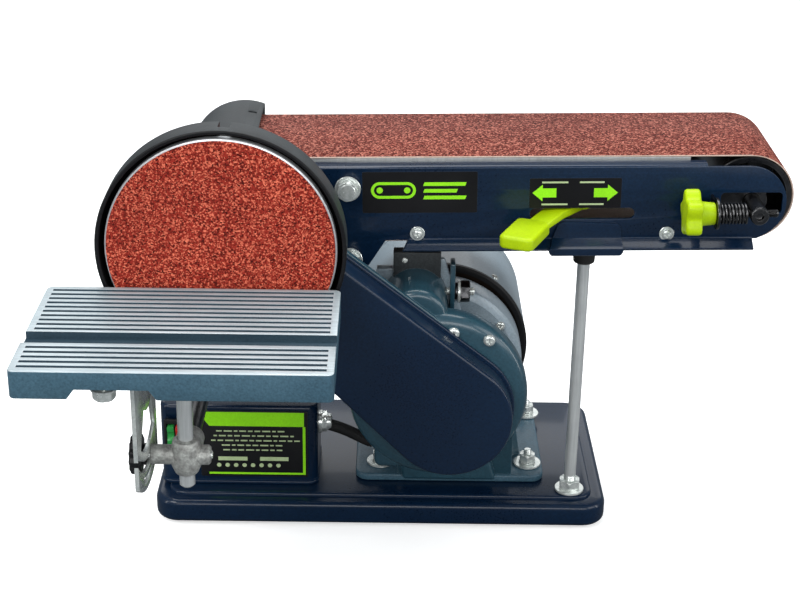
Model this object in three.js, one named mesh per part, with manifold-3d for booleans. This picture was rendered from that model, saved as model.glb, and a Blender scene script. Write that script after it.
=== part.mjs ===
// Bench belt and disc sander: a 100 x 914 mm sanding belt on a tilting arm, a 150 mm sanding disc
// with a tilting table, one motor that drives both through a belt, and a pressed steel base pan.
// Millimetres, +Z up. The front, where the user stands, looks towards -Y.
import * as THREE from "three";
import { mergeVertices } from "three/addons/utils/BufferGeometryUtils.js";
import Module from "manifold-3d";

const wasm = await Module();
wasm.setup();

// ---- driving dimensions ---------------------------------------------------------------------
// Everything is placed about the drive axis, where it meets the face of the disc. The last group
// of the file moves that point to its place above the middle of the base.
const DRIVE_AXIS = new THREE.Vector3(-140.2, -60.7, 256);
const GAP = 0.3; // left between pieces that touch
const FLOOR = -256;

const DISC_R = 75;
const GUARD_R = 81.5;
const SHAFT_R = 7.5;

const BELT_WIDTH = 100;
const BELT_LENGTH = 914;
const BELT_T = 1;
const DRUM_R = 30;
const BELT_Y = 95.6; // front edge of the sanding belt
const DRUM_SPACING = (BELT_LENGTH - 2 * Math.PI * (DRUM_R + GAP + BELT_T / 2)) / 2;

const MOTOR = { x: 148, z: -132, r: 66 }; // the motor's axis runs along Y
const PULLEY_R = 24;

const PLATE_Y = 83.6; // front of the arm's side plate
const PLATE_T = 2.5;
const PLATE_TOP = 28.3;
const PLATE_LOW = -26;
const PLATE_END_X = 357; // centre of the rounded end of the side plate
const SLOT = { x0: 206, x1: 279, z0: -11, z1: -2.8 }; // the tension lever passes through it
const LEVER_PIVOT = { x: 243, y: 108 };
const LEVER_ANGLE = (-40 * Math.PI) / 180; // tight, seen from above
const LEVER_KINK = (16 * Math.PI) / 180; // the grip turns back towards the front
const TRACK_Y = 64; // the tracking screw runs along X at this depth, level with the drive axis

const BASE = { x0: -65, x1: 275, y0: 79, y1: 252, low: -253, rim: -234.5, top: -232 };
const SHEET = 2;
const FOOT_PLATE = { x0: 85.5, x1: 229.3, y0: 108.8, y1: 230, top: -226 };
const BOX = { x0: -61, x1: 57, y0: 102.5, y1: 165, top: -166 };
const SWITCH = { x0: -58, x1: -41, z0: -201, z1: -177 };

const TABLE = { x0: -112, x1: 78, y0: -130.6, y1: -5.7, top: -23.7, plate: 6, apron: 18 };
const TILT = { y: -68, z: -47 }; // the table tilts about this line, which runs along X
const POST_X = -18.2;
const STUD_Z = -112; // the clamping stud, below the tilt axis
const QUADRANT_X = -43;
const QUADRANT_BACK = 28; // behind the tilt axis: any more would strike the disc guard at full tilt
const PROP = { x: 248, y: 100, r: 4.5 };

const FINE = 32; // sides of the large round pieces
const ROUND = 18;
const SMALL = 12;

// ---- materials ------------------------------------------------------------------------------
const material = (color, roughness, metalness) =>
  new THREE.MeshStandardMaterial({ color, roughness, metalness });
const NAVY = material(0x14203a, 0.3, 0.2);
const TEAL = material(0x35555f, 0.35, 0.3);
const DARK = material(0x26282b, 0.5, 0.2);
const GREY = material(0x8c9094, 0.45, 0.3);
const ZINC = material(0xc9ccc8, 0.3, 1.0);
const STEEL = material(0xb4b7b9, 0.25, 1.0);
const ALUMINIUM = material(0xaeb4b8, 0.4, 1.0);
const CAST = material(0x9a9690, 0.65, 0.8);
const ABRASIVE = material(0xa5321f, 0.95, 0.0);
const RUBBER = material(0x151515, 0.8, 0.0);
const LIME = material(0xbfe014, 0.35, 0.0);
const PLASTIC = material(0x17181a, 0.45, 0.0);
const GREEN = material(0x2c8f34, 0.4, 0.0);
const RED = material(0xb31f1a, 0.4, 0.0);
const COPPER = material(0x8a4a2a, 0.5, 0.8);

// ---- solids ---------------------------------------------------------------------------------
// A closed three.js geometry as a solid that can be joined to others and cut.
function solid(geometry) {
  const bare = geometry.index ? geometry.toNonIndexed() : geometry.clone();
  bare.deleteAttribute("normal");
  bare.deleteAttribute("uv");
  const merged = mergeVertices(bare, 1e-4);
  const made = new wasm.Mesh({
    numProp: 3,
    vertProperties: merged.attributes.position.array,
    triVerts: new Uint32Array(merged.index.array),
  });
  return new wasm.Manifold(made);
}

function geometryOf(made) {
  const mesh = made.getMesh();
  const count = mesh.vertProperties.length / mesh.numProp;
  const points = new Float32Array(count * 3);
  for (let i = 0; i < count; i++) {
    points.set(mesh.vertProperties.subarray(i * mesh.numProp, i * mesh.numProp + 3), i * 3);
  }
  const geometry = new THREE.BufferGeometry();
  geometry.setAttribute("position", new THREE.BufferAttribute(points, 3));
  geometry.setIndex(new THREE.BufferAttribute(mesh.triVerts, 1));
  return geometry;
}

const join = (first, ...others) => others.reduce((whole, piece) => whole.add(piece), first);
const cut = (first, ...others) => others.reduce((whole, piece) => whole.subtract(piece), first);

function box(x0, x1, y0, y1, z0, z1) {
  const made = new THREE.BoxGeometry(x1 - x0, y1 - y0, z1 - z0);
  made.translate((x0 + x1) / 2, (y0 + y1) / 2, (z0 + z1) / 2);
  return solid(made);
}

// Cylinders along the three axes. rEnd gives a taper.
function cylY(r, y0, y1, x = 0, z = 0, sides = ROUND, rEnd = r) {
  const made = new THREE.CylinderGeometry(rEnd, r, y1 - y0, sides);
  made.translate(x, (y0 + y1) / 2, z);
  return solid(made);
}

function cylZ(r, z0, z1, x, y, sides = ROUND, rEnd = r) {
  const made = new THREE.CylinderGeometry(rEnd, r, z1 - z0, sides);
  made.rotateX(Math.PI / 2);
  made.translate(x, y, (z0 + z1) / 2);
  return solid(made);
}

function cylX(r, x0, x1, y, z, sides = ROUND, rEnd = r) {
  const made = new THREE.CylinderGeometry(rEnd, r, x1 - x0, sides);
  made.rotateZ(-Math.PI / 2);
  made.translate((x0 + x1) / 2, y, z);
  return solid(made);
}

// A profile of [radius, y] points turned about a line along Y.
function turned(profile, x = 0, z = 0, sides = FINE) {
  const made = new THREE.LatheGeometry(
    profile.map(([r, y]) => new THREE.Vector2(r, y)),
    sides,
  );
  made.translate(x, 0, z);
  return solid(made);
}

const ring = (rOut, rIn, y0, y1, x = 0, z = 0, sides = FINE) =>
  turned([[rIn, y0], [rOut, y0], [rOut, y1], [rIn, y1], [rIn, y0]], x, z, sides);

// An outline drawn in X and Z, as thick as y0 to y1.
function slab(shape, y0, y1, curveSegments = 7) {
  const made = new THREE.ExtrudeGeometry(shape, { depth: y1 - y0, bevelEnabled: false, curveSegments });
  made.rotateX(Math.PI / 2);
  made.translate(0, y1, 0);
  return solid(made);
}

// An outline drawn in Y and Z, as long as x0 to x1.
function bar(shape, x0, x1, curveSegments = 7) {
  const made = new THREE.ExtrudeGeometry(shape, { depth: x1 - x0, bevelEnabled: false, curveSegments });
  made.rotateX(Math.PI / 2);
  made.rotateZ(Math.PI / 2);
  made.translate(x0, 0, 0);
  return solid(made);
}

// An outline drawn in X and Y, as tall as z0 to z1, with its edges broken by `edge`.
function block(shape, z0, z1, edge = 0) {
  const made = new THREE.ExtrudeGeometry(shape, {
    depth: z1 - z0 - 2 * edge,
    bevelEnabled: edge > 0,
    bevelThickness: edge,
    bevelSize: edge,
    bevelOffset: -edge,
    bevelSegments: 1,
    curveSegments: 3,
  });
  made.translate(0, 0, z0 + edge);
  return solid(made);
}

const polygon = (points) => new THREE.Shape(points.map(([x, y]) => new THREE.Vector2(x, y)));

function roundedRect(x0, x1, y0, y1, r) {
  const shape = new THREE.Shape();
  shape.absarc(x1 - r, y0 + r, r, -Math.PI / 2, 0);
  shape.absarc(x1 - r, y1 - r, r, 0, Math.PI / 2);
  shape.absarc(x0 + r, y1 - r, r, Math.PI / 2, Math.PI);
  shape.absarc(x0 + r, y0 + r, r, Math.PI, Math.PI * 1.5);
  shape.closePath();
  return shape;
}

// The outline of a band stretched round two circles.
function teardrop(a, b) {
  const along = Math.atan2(b.z - a.z, b.x - a.x);
  const spread = Math.acos((a.r - b.r) / Math.hypot(b.x - a.x, b.z - a.z));
  const shape = new THREE.Shape();
  shape.absarc(a.x, a.z, a.r, along + spread, along - spread + 2 * Math.PI);
  shape.absarc(b.x, b.z, b.r, along - spread, along + spread);
  shape.closePath();
  return shape;
}

// A hexagonal head or nut along Y or Z, by its width across corners.
const hexY = (r, y0, y1, x, z) => cylY(r, y0, y1, x, z, 6);
const hexZ = (r, z0, z1, x, y) => cylZ(r, z0, z1, x, y, 6);

// ---- base -----------------------------------------------------------------------------------
const FEET = [
  ["front_left", BASE.x0 + 46, BASE.y0 + 20],
  ["front_right", BASE.x1 - 46, BASE.y0 + 20],
  ["back_left", BASE.x0 + 46, BASE.y1 - 20],
  ["back_right", BASE.x1 - 46, BASE.y1 - 20],
];
const CASTING_BOLTS = [
  ["front_left", 104.3, 128.1],
  ["front_right", 217.7, 128.2],
  ["back_left", 104.3, 211],
  ["back_right", 222.5, 211],
];
const BOLT_R = 3;
const BOLT_HOLE_R = 3.5;

function basePan() {
  const { x0, x1, y0, y1, low, rim, top } = BASE;
  const step = 10;
  let pan = block(roundedRect(x0, x1, y0, y1, 18), low, rim, 3);
  pan = join(pan, block(roundedRect(x0 + step, x1 - step, y0 + step, y1 - step, 12), rim - 4, top, 1));
  const hollow = roundedRect(x0 + SHEET, x1 - SHEET, y0 + SHEET, y1 - SHEET, 16);
  pan = cut(pan, block(hollow, low - 10, rim - SHEET - 1));
  for (const [, x, y] of CASTING_BOLTS) pan = cut(pan, cylZ(BOLT_HOLE_R, low, top + 1, x, y, SMALL));
  return cut(pan, cylZ(PROP.r + GAP, low, top + 1, PROP.x, PROP.y, SMALL));
}

function rubberFoot(x, y) {
  return cylZ(9, FLOOR, BASE.rim - SHEET - 1 - GAP, x, y, ROUND, 11);
}

function switchBox() {
  const { x0, x1, y0, y1, top } = BOX;
  const wall = 2.5;
  const low = BASE.top + GAP;
  const outside = block(roundedRect(x0, x1, y0, y1, 8), low, top, 1.5);
  const inside = block(roundedRect(x0 + wall, x1 - wall, y0 + wall, y1 - wall, 6), low - 5, top - wall);
  const window = box(SWITCH.x0 + 2, SWITCH.x1 - 2, y0 - 5, y0 + 10, SWITCH.z0 + 2, SWITCH.z1 - 2);
  const leadHole = cylX(5.5, x1 - 10, x1 + 5, 126, -190, SMALL);
  const cordHole = cylY(5, y1 - 10, y1 + 5, 0, -200, SMALL);
  return cut(outside, inside, window, leadHole, cordHole);
}

function switchBody() {
  const { x0, x1, z0, z1 } = SWITCH;
  const front = BOX.y0 - GAP;
  const body = join(
    box(x0, x1, front - 2, front, z0, z1),
    box(x0 + 2.4, x1 - 2.4, front - 1, front + 20, z0 + 2.4, z1 - 2.4),
  );
  const wells = BUTTONS.map(([, x]) => box(x - 2.9, x + 2.9, front - 5, front + 10, z0 + 4, z1 - 4));
  return cut(body, ...wells);
}

const BUTTONS = [
  ["start_button", SWITCH.x0 + 5.4, GREEN],
  ["stop_button", SWITCH.x1 - 5.4, RED],
];

function pushButton(x) {
  const front = BOX.y0 - GAP;
  return box(x - 2.5, x + 2.5, front - 5.5, front + 4, SWITCH.z0 + 4.5, SWITCH.z1 - 4.5);
}

function ratingPlate() {
  return box(-31, 49.5, BOX.y0 - GAP - 0.8, BOX.y0 - GAP, -225, -169.5);
}

function cordGland() {
  const y = BOX.y1 + GAP;
  return join(cylY(9, y, y + 4, 0, -200, 6), cylY(6.5, y + 4, y + 20, 0, -200, SMALL, 4.5));
}

function motorLead() {
  const start = new THREE.Vector3(BOX.x1 - 8, 126, -190);
  const path = new THREE.CatmullRomCurve3([
    start,
    new THREE.Vector3(BOX.x1 + 8, 126, -190),
    new THREE.Vector3(BOX.x1 + 24, 124, -196),
    new THREE.Vector3(91, 121, -203),
    new THREE.Vector3(98, 120.5, -204),
  ]);
  const section = new THREE.Shape();
  section.absarc(0, 0, 4.5, 0, 2 * Math.PI);
  return solid(new THREE.ExtrudeGeometry(section, { steps: 12, curveSegments: 4, extrudePath: path }));
}

// ---- main casting and motor -----------------------------------------------------------------
const CASE = { back: 66, front: 50, neck: { x: 0, z: 0, r: 46 }, end: { x: 145, z: -130, r: 63.5 } };
const NECK = { out: 31, bore: 20.7 + GAP, y1: 90 };
const CRADLE = { x0: 118, x1: 203, y0: 107, y1: 212, top: -178 };
const PILLAR = { x: 128.5, r: 22, z: -72, y1: 108 };
const SUPPORT = { x: POST_X, z: STUD_Z, r: 6, y0: -58, y1: 57 }; // bar that carries the table
const GUARD_POSTS = [1.75, 3.0, 4.3]; // angles, radians
const LOCK = { x0: 153, x1: 156.5, y: 104, z: -70 };

function motorCasting() {
  const { x, z, r } = CASE.end;
  const face = CASE.front + GAP;
  const plate = join(
    cylY(CASE.neck.r, face, CASE.front + 6, CASE.neck.x, CASE.neck.z, FINE),
    slab(teardrop({ x: 0, z: 0, r: 34 }, { x: 153, z: -136, r: 46 }), face, CASE.front + 6),
    cylY(r, face, CASE.front + 6, x, z, FINE),
  );
  const rim = cut(
    cylY(r, CASE.front + GAP, CASE.back, x, z, FINE),
    cylY(r - 4, CASE.front + 6, CASE.back + 1, x, z, FINE),
  );
  const neck = cylY(NECK.out, CASE.front + 1, NECK.y1, 0, 0, FINE);
  const arch = new THREE.Shape();
  arch.absarc(PILLAR.x, PILLAR.z, PILLAR.r, 0, Math.PI);
  arch.lineTo(FOOT_PLATE.x0 + 8, FOOT_PLATE.top - 2);
  arch.lineTo(PILLAR.x + 42, FOOT_PLATE.top - 2);
  arch.lineTo(PILLAR.x + 28, PILLAR.z - 30);
  arch.closePath();
  const pillar = slab(arch, CASE.front + 5, PILLAR.y1);
  const foot = block(
    roundedRect(FOOT_PLATE.x0, FOOT_PLATE.x1, FOOT_PLATE.y0, FOOT_PLATE.y1, 10),
    BASE.top + GAP,
    FOOT_PLATE.top,
    1,
  );
  const cradle = box(CRADLE.x0, CRADLE.x1, CRADLE.y0, CRADLE.y1, FOOT_PLATE.top - 2, CRADLE.top);
  const lockRib = box(LOCK.x0, LOCK.x1, LOCK.y - 8, LOCK.y + 6, -100, -47);
  const supportArm = box(SUPPORT.x - 14, 95, CASE.front + 2, CASE.front + 14, STUD_Z - 13, STUD_Z + 13);
  const supportBoss = cylY(12, 30, CASE.front + 14, SUPPORT.x, SUPPORT.z);
  const posts = GUARD_POSTS.map((a) =>
    cylY(5, GUARD.back + GAP, CASE.front + 2, 39 * Math.cos(a), 39 * Math.sin(a), SMALL),
  );
  let casting = join(plate, rim, neck, pillar, foot, cradle, lockRib, supportArm, supportBoss, ...posts);
  casting = cut(
    casting,
    cylY(NECK.bore, CASE.front + 7, NECK.y1 + 1, 0, 0, FINE),
    cylY(SHAFT_R + 3, 0, 100, 0, 0),
    cylY(MOTOR.r + GAP, 111.7, 260, MOTOR.x, MOTOR.z, FINE),
    cylY(14, 0, 120, MOTOR.x, MOTOR.z),
    box(0, 300, CASE.back, CRADLE.y0 - 7, BASE.low, z - r + 6),
    box(0, 300, 0, CASE.back + 1, BASE.low, z - r - 0.5),
    cylY(SUPPORT.r + GAP, 20, SUPPORT.y1 + GAP, SUPPORT.x, SUPPORT.z),
    cylX(3.4, LOCK.x0 - 5, LOCK.x1 + 5, LOCK.y - 2, LOCK.z, SMALL),
    box(LOCK.x0 - 14, LOCK.x0, LOCK.y - 12, LOCK.y + 10, LOCK.z - 8, LOCK.z + 8),
  );
  for (const [, boltX, boltY] of CASTING_BOLTS) {
    casting = cut(
      casting,
      cylZ(BOLT_HOLE_R, BASE.low, FOOT_PLATE.top + 1, boltX, boltY, SMALL),
      cylZ(13, FOOT_PLATE.top, FOOT_PLATE.top + 20, boltX, boltY, SMALL),
    );
  }
  return casting;
}

function castingBolt(x, y) {
  const seat = FOOT_PLATE.top + GAP;
  return join(
    cylZ(10.5, seat, seat + 1.6, x, y, ROUND),
    hexZ(6, seat + 1.5, seat + 7, x, y),
    cylZ(BOLT_R, BASE.rim - 10, seat + 12, x, y, SMALL),
  );
}

function beltCover() {
  const wall = 2;
  const big = { x: 153, z: -136, r: 43.5 };
  const small = { x: 0, z: 0, r: 30.5 };
  const inner = (circle) => ({ x: circle.x, z: circle.z, r: circle.r - wall });
  return cut(
    slab(teardrop(small, big), 26, CASE.front, 10),
    slab(teardrop(inner(small), inner(big)), 26 + wall, CASE.front + 1, 10),
    cylY(SHAFT_R + 2, 20, 40),
  );
}

function pulley(bore) {
  const f = PULLEY_R + 2;
  return turned(
    [[bore, 31], [f, 31], [f, 32], [PULLEY_R, 32], [PULLEY_R, 44], [f, 44], [f, 45], [bore, 45], [bore, 31]],
    0,
    0,
    20,
  );
}

function driveBelt() {
  const loop = (r) => teardrop({ x: 0, z: 0, r }, { x: MOTOR.x, z: MOTOR.z, r });
  return cut(slab(loop(PULLEY_R + 3), 32.4, 43.6, 9), slab(loop(PULLEY_R + GAP), 30, 46, 9));
}

// The motor's pieces are turned about its own axis, and the motor group carries them to it.
function motorFrontShield() {
  return turned([
    [7.3, 112], [54, 112], [60, 115], [61, 119], [61, 134], [58, 134], [58, 141.7],
    [50, 141.7], [50, 122], [18, 122], [18, 130], [7.3, 130], [7.3, 112],
  ]);
}

const motorShell = () => ring(MOTOR.r, MOTOR.r - 3, 142, 222);

function motorFanCover() {
  const cover = turned([
    [0, 241], [54, 241], [64, 234], [64, 222.3], [66, 222.3], [66, 235], [56, 244], [0, 244],
  ]);
  const vents = [];
  for (let i = 0; i < 12; i++) {
    const a = (i * Math.PI) / 6;
    vents.push(cylY(4.5, 235, 250, 36 * Math.cos(a), 36 * Math.sin(a), 6));
  }
  return cut(cover, ...vents);
}

const statorCore = () => ring(MOTOR.r - 3 - GAP, 34, 152, 208, 0, 0, 20);
const rotorCore = () => ring(33, 7.3, 150, 210, 0, 0, 20);
const motorShaft = () => cylY(7, 29, 238, 0, 0, ROUND);

function coolingFan() {
  let fan = ring(15, 7.3, 224, 236, 0, 0, ROUND);
  fan = join(fan, ring(50, 14, 224, 226, 0, 0, 20));
  for (let i = 0; i < 8; i++) {
    const blade = new THREE.BoxGeometry(34, 9, 1.6);
    blade.translate(31, 230, 0);
    blade.rotateY((i * Math.PI) / 4);
    fan = join(fan, solid(blade));
  }
  return fan;
}

// ---- disc and spindle -----------------------------------------------------------------------
const GUARD = { front: -1, back: 22 };

function discGuard() {
  const wall = 2.2;
  const r = GUARD_R;
  return turned([
    [18, GUARD.back - wall], [r - wall, GUARD.back - wall], [r - wall, GUARD.front], [r, GUARD.front],
    [r, GUARD.back], [18, GUARD.back], [18, GUARD.back - wall],
  ], 0, 0, 48);
}

const driveShaft = () => cylY(SHAFT_R, 3.6, 197, 0, 0, ROUND);
const bearing = (y0) => ring(20.7, SHAFT_R + GAP, y0, y0 + 11, 0, 0, 20);
const discPaper = () => cylY(DISC_R, 0, 1.2, 0, 0, 48);

function discPlate() {
  const bore = SHAFT_R + GAP;
  return turned([
    [0, 1.5], [DISC_R - 0.5, 1.5], [DISC_R - 0.5, 8], [14, 8], [14, 18.5], [bore, 18.5], [bore, 3.2], [0, 3.2],
  ], 0, 0, 48);
}

function drum(bore) {
  const y0 = BELT_Y + 0.4;
  const y1 = y0 + BELT_WIDTH;
  const inner = DRUM_R - 4;
  const hub = bore + 6;
  return turned([
    [bore, y0 + 2], [hub, y0 + 2], [hub, y0 + 44], [inner, y0 + 44], [inner, y0], [DRUM_R, y0], [DRUM_R, y1],
    [inner, y1], [inner, y0 + 56], [hub, y0 + 56], [hub, y1 - 2], [bore, y1 - 2], [bore, y0 + 2],
  ], 0, 0, 26);
}

// ---- belt arm -------------------------------------------------------------------------------
const ARM_BOLTS = [
  ["upper", 80, 12.5],
  ["lower", 80.6, -40.4],
];
const TAB = { x0: 331, x1: 333, y0: 64, r: 11 };
const ARM_REST = (1.15 * Math.PI) / 180; // on its prop the arm points a little upwards

function armSidePlate() {
  const outline = new THREE.Shape();
  outline.absarc(0, 0, 50, Math.PI * 1.55, Math.PI * 0.8, true);
  outline.lineTo(-14, PLATE_TOP);
  outline.absarc(PLATE_END_X, 0, PLATE_TOP, Math.PI / 2, -Math.PI * 0.37, true);
  outline.lineTo(PLATE_END_X + 8, PLATE_LOW);
  outline.lineTo(106, PLATE_LOW);
  outline.lineTo(84, -60);
  outline.lineTo(40, -64);
  outline.closePath();
  const back = PLATE_Y + PLATE_T;
  const topFlange = box(40, 328, back - 1, 94.6, PLATE_TOP - 2.2, PLATE_TOP);
  const lowFlange = bar(
    polygon([
      [PLATE_Y, PLATE_LOW + 1], [PLATE_Y, PLATE_LOW + 0.4], [PLATE_Y - 8.6, PLATE_LOW - 4.3],
      [PLATE_Y - 7.5, PLATE_LOW - 6], [back, PLATE_LOW - 0.6], [back, PLATE_LOW + 1],
    ]),
    106,
    362,
  );
  const tab = join(box(TAB.x0, TAB.x1, TAB.y0, back, -7, 7), cylX(TAB.r, TAB.x0, TAB.x1, TAB.y0, 0, ROUND));
  const whole = join(slab(outline, PLATE_Y, back, 10), topFlange, lowFlange, tab);
  const slotR = (SLOT.z1 - SLOT.z0) / 2;
  const slot = roundedRect(SLOT.x0, SLOT.x1, SLOT.z0, SLOT.z1, slotR - 0.01);
  return cut(
    whole,
    cylY(NECK.out + 1, 70, 100, 0, 0, FINE),
    slab(slot, 70, 100),
    box(338, 378, 70, 100, -8, 8),
    cylX(3.4, TAB.x0 - 5, TAB.x1 + 5, TRACK_Y, 0, SMALL),
    ...ARM_BOLTS.map(([, x, z]) => cylY(4 + GAP, 70, 100, x, z, SMALL)),
  );
}

function armBolt(x, z) {
  const seat = PLATE_Y - GAP;
  return join(
    cylY(9, seat - 1.8, seat, x, z, ROUND),
    hexY(7.5, seat - 8, seat - 1.7, x, z),
    cylY(4, seat - 2, 94, x, z, SMALL),
  );
}

function armBeam() {
  const front = PLATE_Y + PLATE_T + GAP;
  const top = 26.2;
  return join(
    box(45, 286, front + 8.5, 183, top - 3, top),
    box(45, 286, 180, 183, -22, top - 2),
    box(100, 110, front, 183, -22, -18),
    box(100, 103, front, 183, -22, top - 2),
    box(196, 286, front + 12, front + 40, 8, top - 2),
    cylZ(4, -9 + GAP, 9, LEVER_PIVOT.x, LEVER_PIVOT.y, SMALL),
  );
}

const platen = () => box(38, 318, 97, 194, 26.5, 29.7);

function sandingBelt() {
  const loop = (r) => teardrop({ x: 0, z: 0, r }, { x: DRUM_SPACING, z: 0, r });
  const y1 = BELT_Y + BELT_WIDTH;
  return cut(
    slab(loop(DRUM_R + GAP + BELT_T), BELT_Y, y1, 13),
    slab(loop(DRUM_R + GAP), BELT_Y - 1, y1 + 1, 13),
  );
}

function drumHood() {
  const rOut = 41;
  const front = PLATE_Y + PLATE_T + GAP;
  const sector = new THREE.Shape();
  sector.absarc(0, 0, rOut, Math.PI * 0.38, Math.PI * 1.6);
  sector.absarc(0, 0, rOut - 1.6, Math.PI * 1.6, Math.PI * 0.38, true);
  sector.closePath();
  const wall = new THREE.Shape();
  wall.absarc(0, 0, rOut, Math.PI * 0.38, Math.PI * 1.6);
  wall.closePath();
  return join(slab(sector, front, 202, 14), slab(wall, 200.4, 202, 14));
}

function propBracket() {
  const y = PLATE_Y - GAP;
  const t = 2;
  const profile = polygon([
    [y, -12.6], [y, -25], [y - 8.8, -29.8], [y - 8.8, -32.6], [PROP.y + 11, -32.6],
    [PROP.y + 11, -34.4], [y - 8.8 - t, -34.4], [y - 8.8 - t, -28.9], [y - t, -24.1], [y - t, -12.6],
  ]);
  return bar(profile, 219, 271);
}

function tensionLever() {
  const { x, y } = LEVER_PIVOT;
  const eye = cylZ(9, -10, -4, x, y);
  const neck = box(x - 6, x + 6, y - 52, y, -10, -4);
  const handle = new THREE.ExtrudeGeometry(roundedRect(-12.3, 12.3, -19.8, 19.8, 6), {
    depth: 5.2,
    bevelThickness: 2,
    bevelSize: 2,
    bevelOffset: -2,
    bevelSegments: 1,
    curveSegments: 3,
  });
  handle.rotateZ(LEVER_KINK);
  handle.translate(x, y - 65.5, -15);
  const grip = solid(handle);
  const made = cut(join(eye, neck, grip), cylZ(4 + GAP, -20, 0, x, y, SMALL));
  return made;
}

function idlerYoke() {
  const front = 88.5;
  const back = 202;
  const x = DRUM_SPACING;
  const leg = (y) => join(box(300, x, y, y + 4, -11, 11), cylY(11, y, y + 4, x, 0));
  return cut(
    join(leg(front), leg(back - 4), box(300, 306, front, back, -11, 11), box(262, 302, 128, 140, -11, -1)),
    cylY(6 + GAP, 80, 210, x, 0),
  );
}

function idlerAxle() {
  const x = DRUM_SPACING;
  const axle = join(cylY(5.9, 76, 205, x, 0), cylY(6.4, 57, 78, x, 0));
  return cut(axle, cylX(3.3, x - 12, x + 12, TRACK_Y, 0, SMALL));
}

function trackingKnob() {
  const lobes = new THREE.Shape();
  const turns = 40;
  for (let i = 0; i <= turns; i++) {
    const a = (i / turns) * 2 * Math.PI;
    const r = 14.8 + 2.2 * Math.cos(5 * a);
    if (i === 0) lobes.moveTo(r, 0);
    else lobes.lineTo(r * Math.cos(a), r * Math.sin(a));
  }
  const head = new THREE.ExtrudeGeometry(lobes, {
    depth: 8,
    bevelThickness: 2,
    bevelSize: 2,
    bevelOffset: -2,
    bevelSegments: 1,
  });
  head.rotateY(Math.PI / 2);
  head.translate(309.6, TRACK_Y, 0);
  const hub = cylX(8.5, 318.6, TAB.x0 - GAP, TRACK_Y, 0, ROUND, 7.5);
  return cut(join(solid(head), hub), cylX(3 + GAP, 313.6, 340, TRACK_Y, 0, SMALL));
}

const trackingScrew = () => cylX(2.8, 313.9, DRUM_SPACING + 14, TRACK_Y, 0, SMALL);

function trackingSpring() {
  const x0 = TAB.x1 + 1.2;
  const x1 = DRUM_SPACING - 6.4 - 1.2;
  const coils = 8;
  class Helix extends THREE.Curve {
    getPoint(t) {
      const a = t * coils * 2 * Math.PI;
      return new THREE.Vector3(x0 + t * (x1 - x0), TRACK_Y + 6.2 * Math.cos(a), 6.2 * Math.sin(a));
    }
  }
  const wire = new THREE.Shape();
  wire.absarc(0, 0, 0.75, 0, 2 * Math.PI);
  return solid(
    new THREE.ExtrudeGeometry(wire, { steps: coils * 10, curveSegments: 2, extrudePath: new Helix() }),
  );
}

// ---- table ----------------------------------------------------------------------------------
const GROOVE = { depth: 1.2, width: 2.9, ends: 4.5, pitch: 6.58 };
const MITRE = { y: -83.4, half: 8, depth: 4.5 };
const grooveLines = [];
for (let i = 0; i < 5; i++) grooveLines.push(TABLE.y0 + 5.6 + i * GROOVE.pitch);
for (let i = 0; i < 10; i++) grooveLines.push(MITRE.y + 11.1 + i * GROOVE.pitch);

function tableTop() {
  const { x0, x1, y0, y1, top, plate, apron } = TABLE;
  const outside = block(roundedRect(x0, x1, y0, y1, 4), top - apron, top, 0.6);
  const wall = 4;
  const hollow = box(x0 + wall, x1 - wall, y0 + wall, y1 - wall, top - apron - 5, top - plate);
  const ribs = [-70, 40].map((x) => box(x, x + 3, y0 + 2, y1 - 2, top - apron + 5, top - plate + 1));
  const lugs = [POST_X - 18, POST_X + 13].map((x) =>
    join(
      box(x, x + 7, TILT.y - 8, TILT.y + 8, TILT.z, top - plate + 1),
      cylX(8, x, x + 7, TILT.y, TILT.z),
    ),
  );
  const bolt = join(
    cylZ(3.5, -41, top - plate + 1, -58.2, -118, SMALL),
    cylZ(8, -41, -39.5, -58.2, -118, ROUND),
    hexZ(7, -46.6, -40.9, -58.2, -118),
  );
  let table = join(cut(outside, hollow), ...ribs, ...lugs, bolt);
  for (const y of grooveLines) {
    const groove = box(x0 + GROOVE.ends, x1 - GROOVE.ends, y, y + GROOVE.width, top - GROOVE.depth, top + 1);
    table = cut(table, groove);
  }
  const notch = slab(
    polygon([[-78, top - apron - 1], [-73, top - apron + 6.5], [-30, top - apron + 6.5], [-25, top - apron - 1]]),
    y0 - 1,
    y0 + wall + 1,
  );
  return cut(
    table,
    box(x0 - 1, x1 + 1, MITRE.y - MITRE.half, MITRE.y + MITRE.half, top - MITRE.depth, top + 1),
    notch,
    cylX(4 + GAP, POST_X - 40, POST_X + 40, TILT.y, TILT.z, SMALL),
  );
}

function tiltQuadrant() {
  const rOut = 86;
  const rSlot = TILT.z - STUD_Z;
  const x = QUADRANT_X;
  const { y, z } = TILT;
  const top = TABLE.top - TABLE.plate - GAP;
  const disc = cylX(rOut, x, x + 2.5, y, z, 48);
  const field = box(x - 1, x + 4, y - 50, y + QUADRANT_BACK, z - rOut - 1, top);
  const plate = disc.intersect(field);
  const flange = box(x, x + 6, y - 50, y + QUADRANT_BACK, top - 2.5, top);
  const sweep = (r, half, from, to) => {
    const arc = new THREE.Shape();
    const down = -Math.PI / 2;
    arc.absarc(y, z, r + half, down - from, down - to, true);
    arc.absarc(y, z, r - half, down - to, down - from);
    arc.closePath();
    return bar(arc, x - 1, x + 4, 7);
  };
  const reach = Math.PI / 4;
  return cut(
    join(plate, flange),
    sweep(rSlot, 3.6, -0.07, reach + 0.07),
    sweep(77, 3.6, -0.22, 0.42),
    sweep(43, 13, -0.35, 0.72),
    cylX(12, x - 1, x + 4, y, z),
  );
}

function tablePost() {
  return join(
    cylZ(5, -138, TILT.z + 4, POST_X, TILT.y),
    cylX(4, POST_X - 25, POST_X + 25, TILT.y, TILT.z, SMALL),
  );
}

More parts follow.
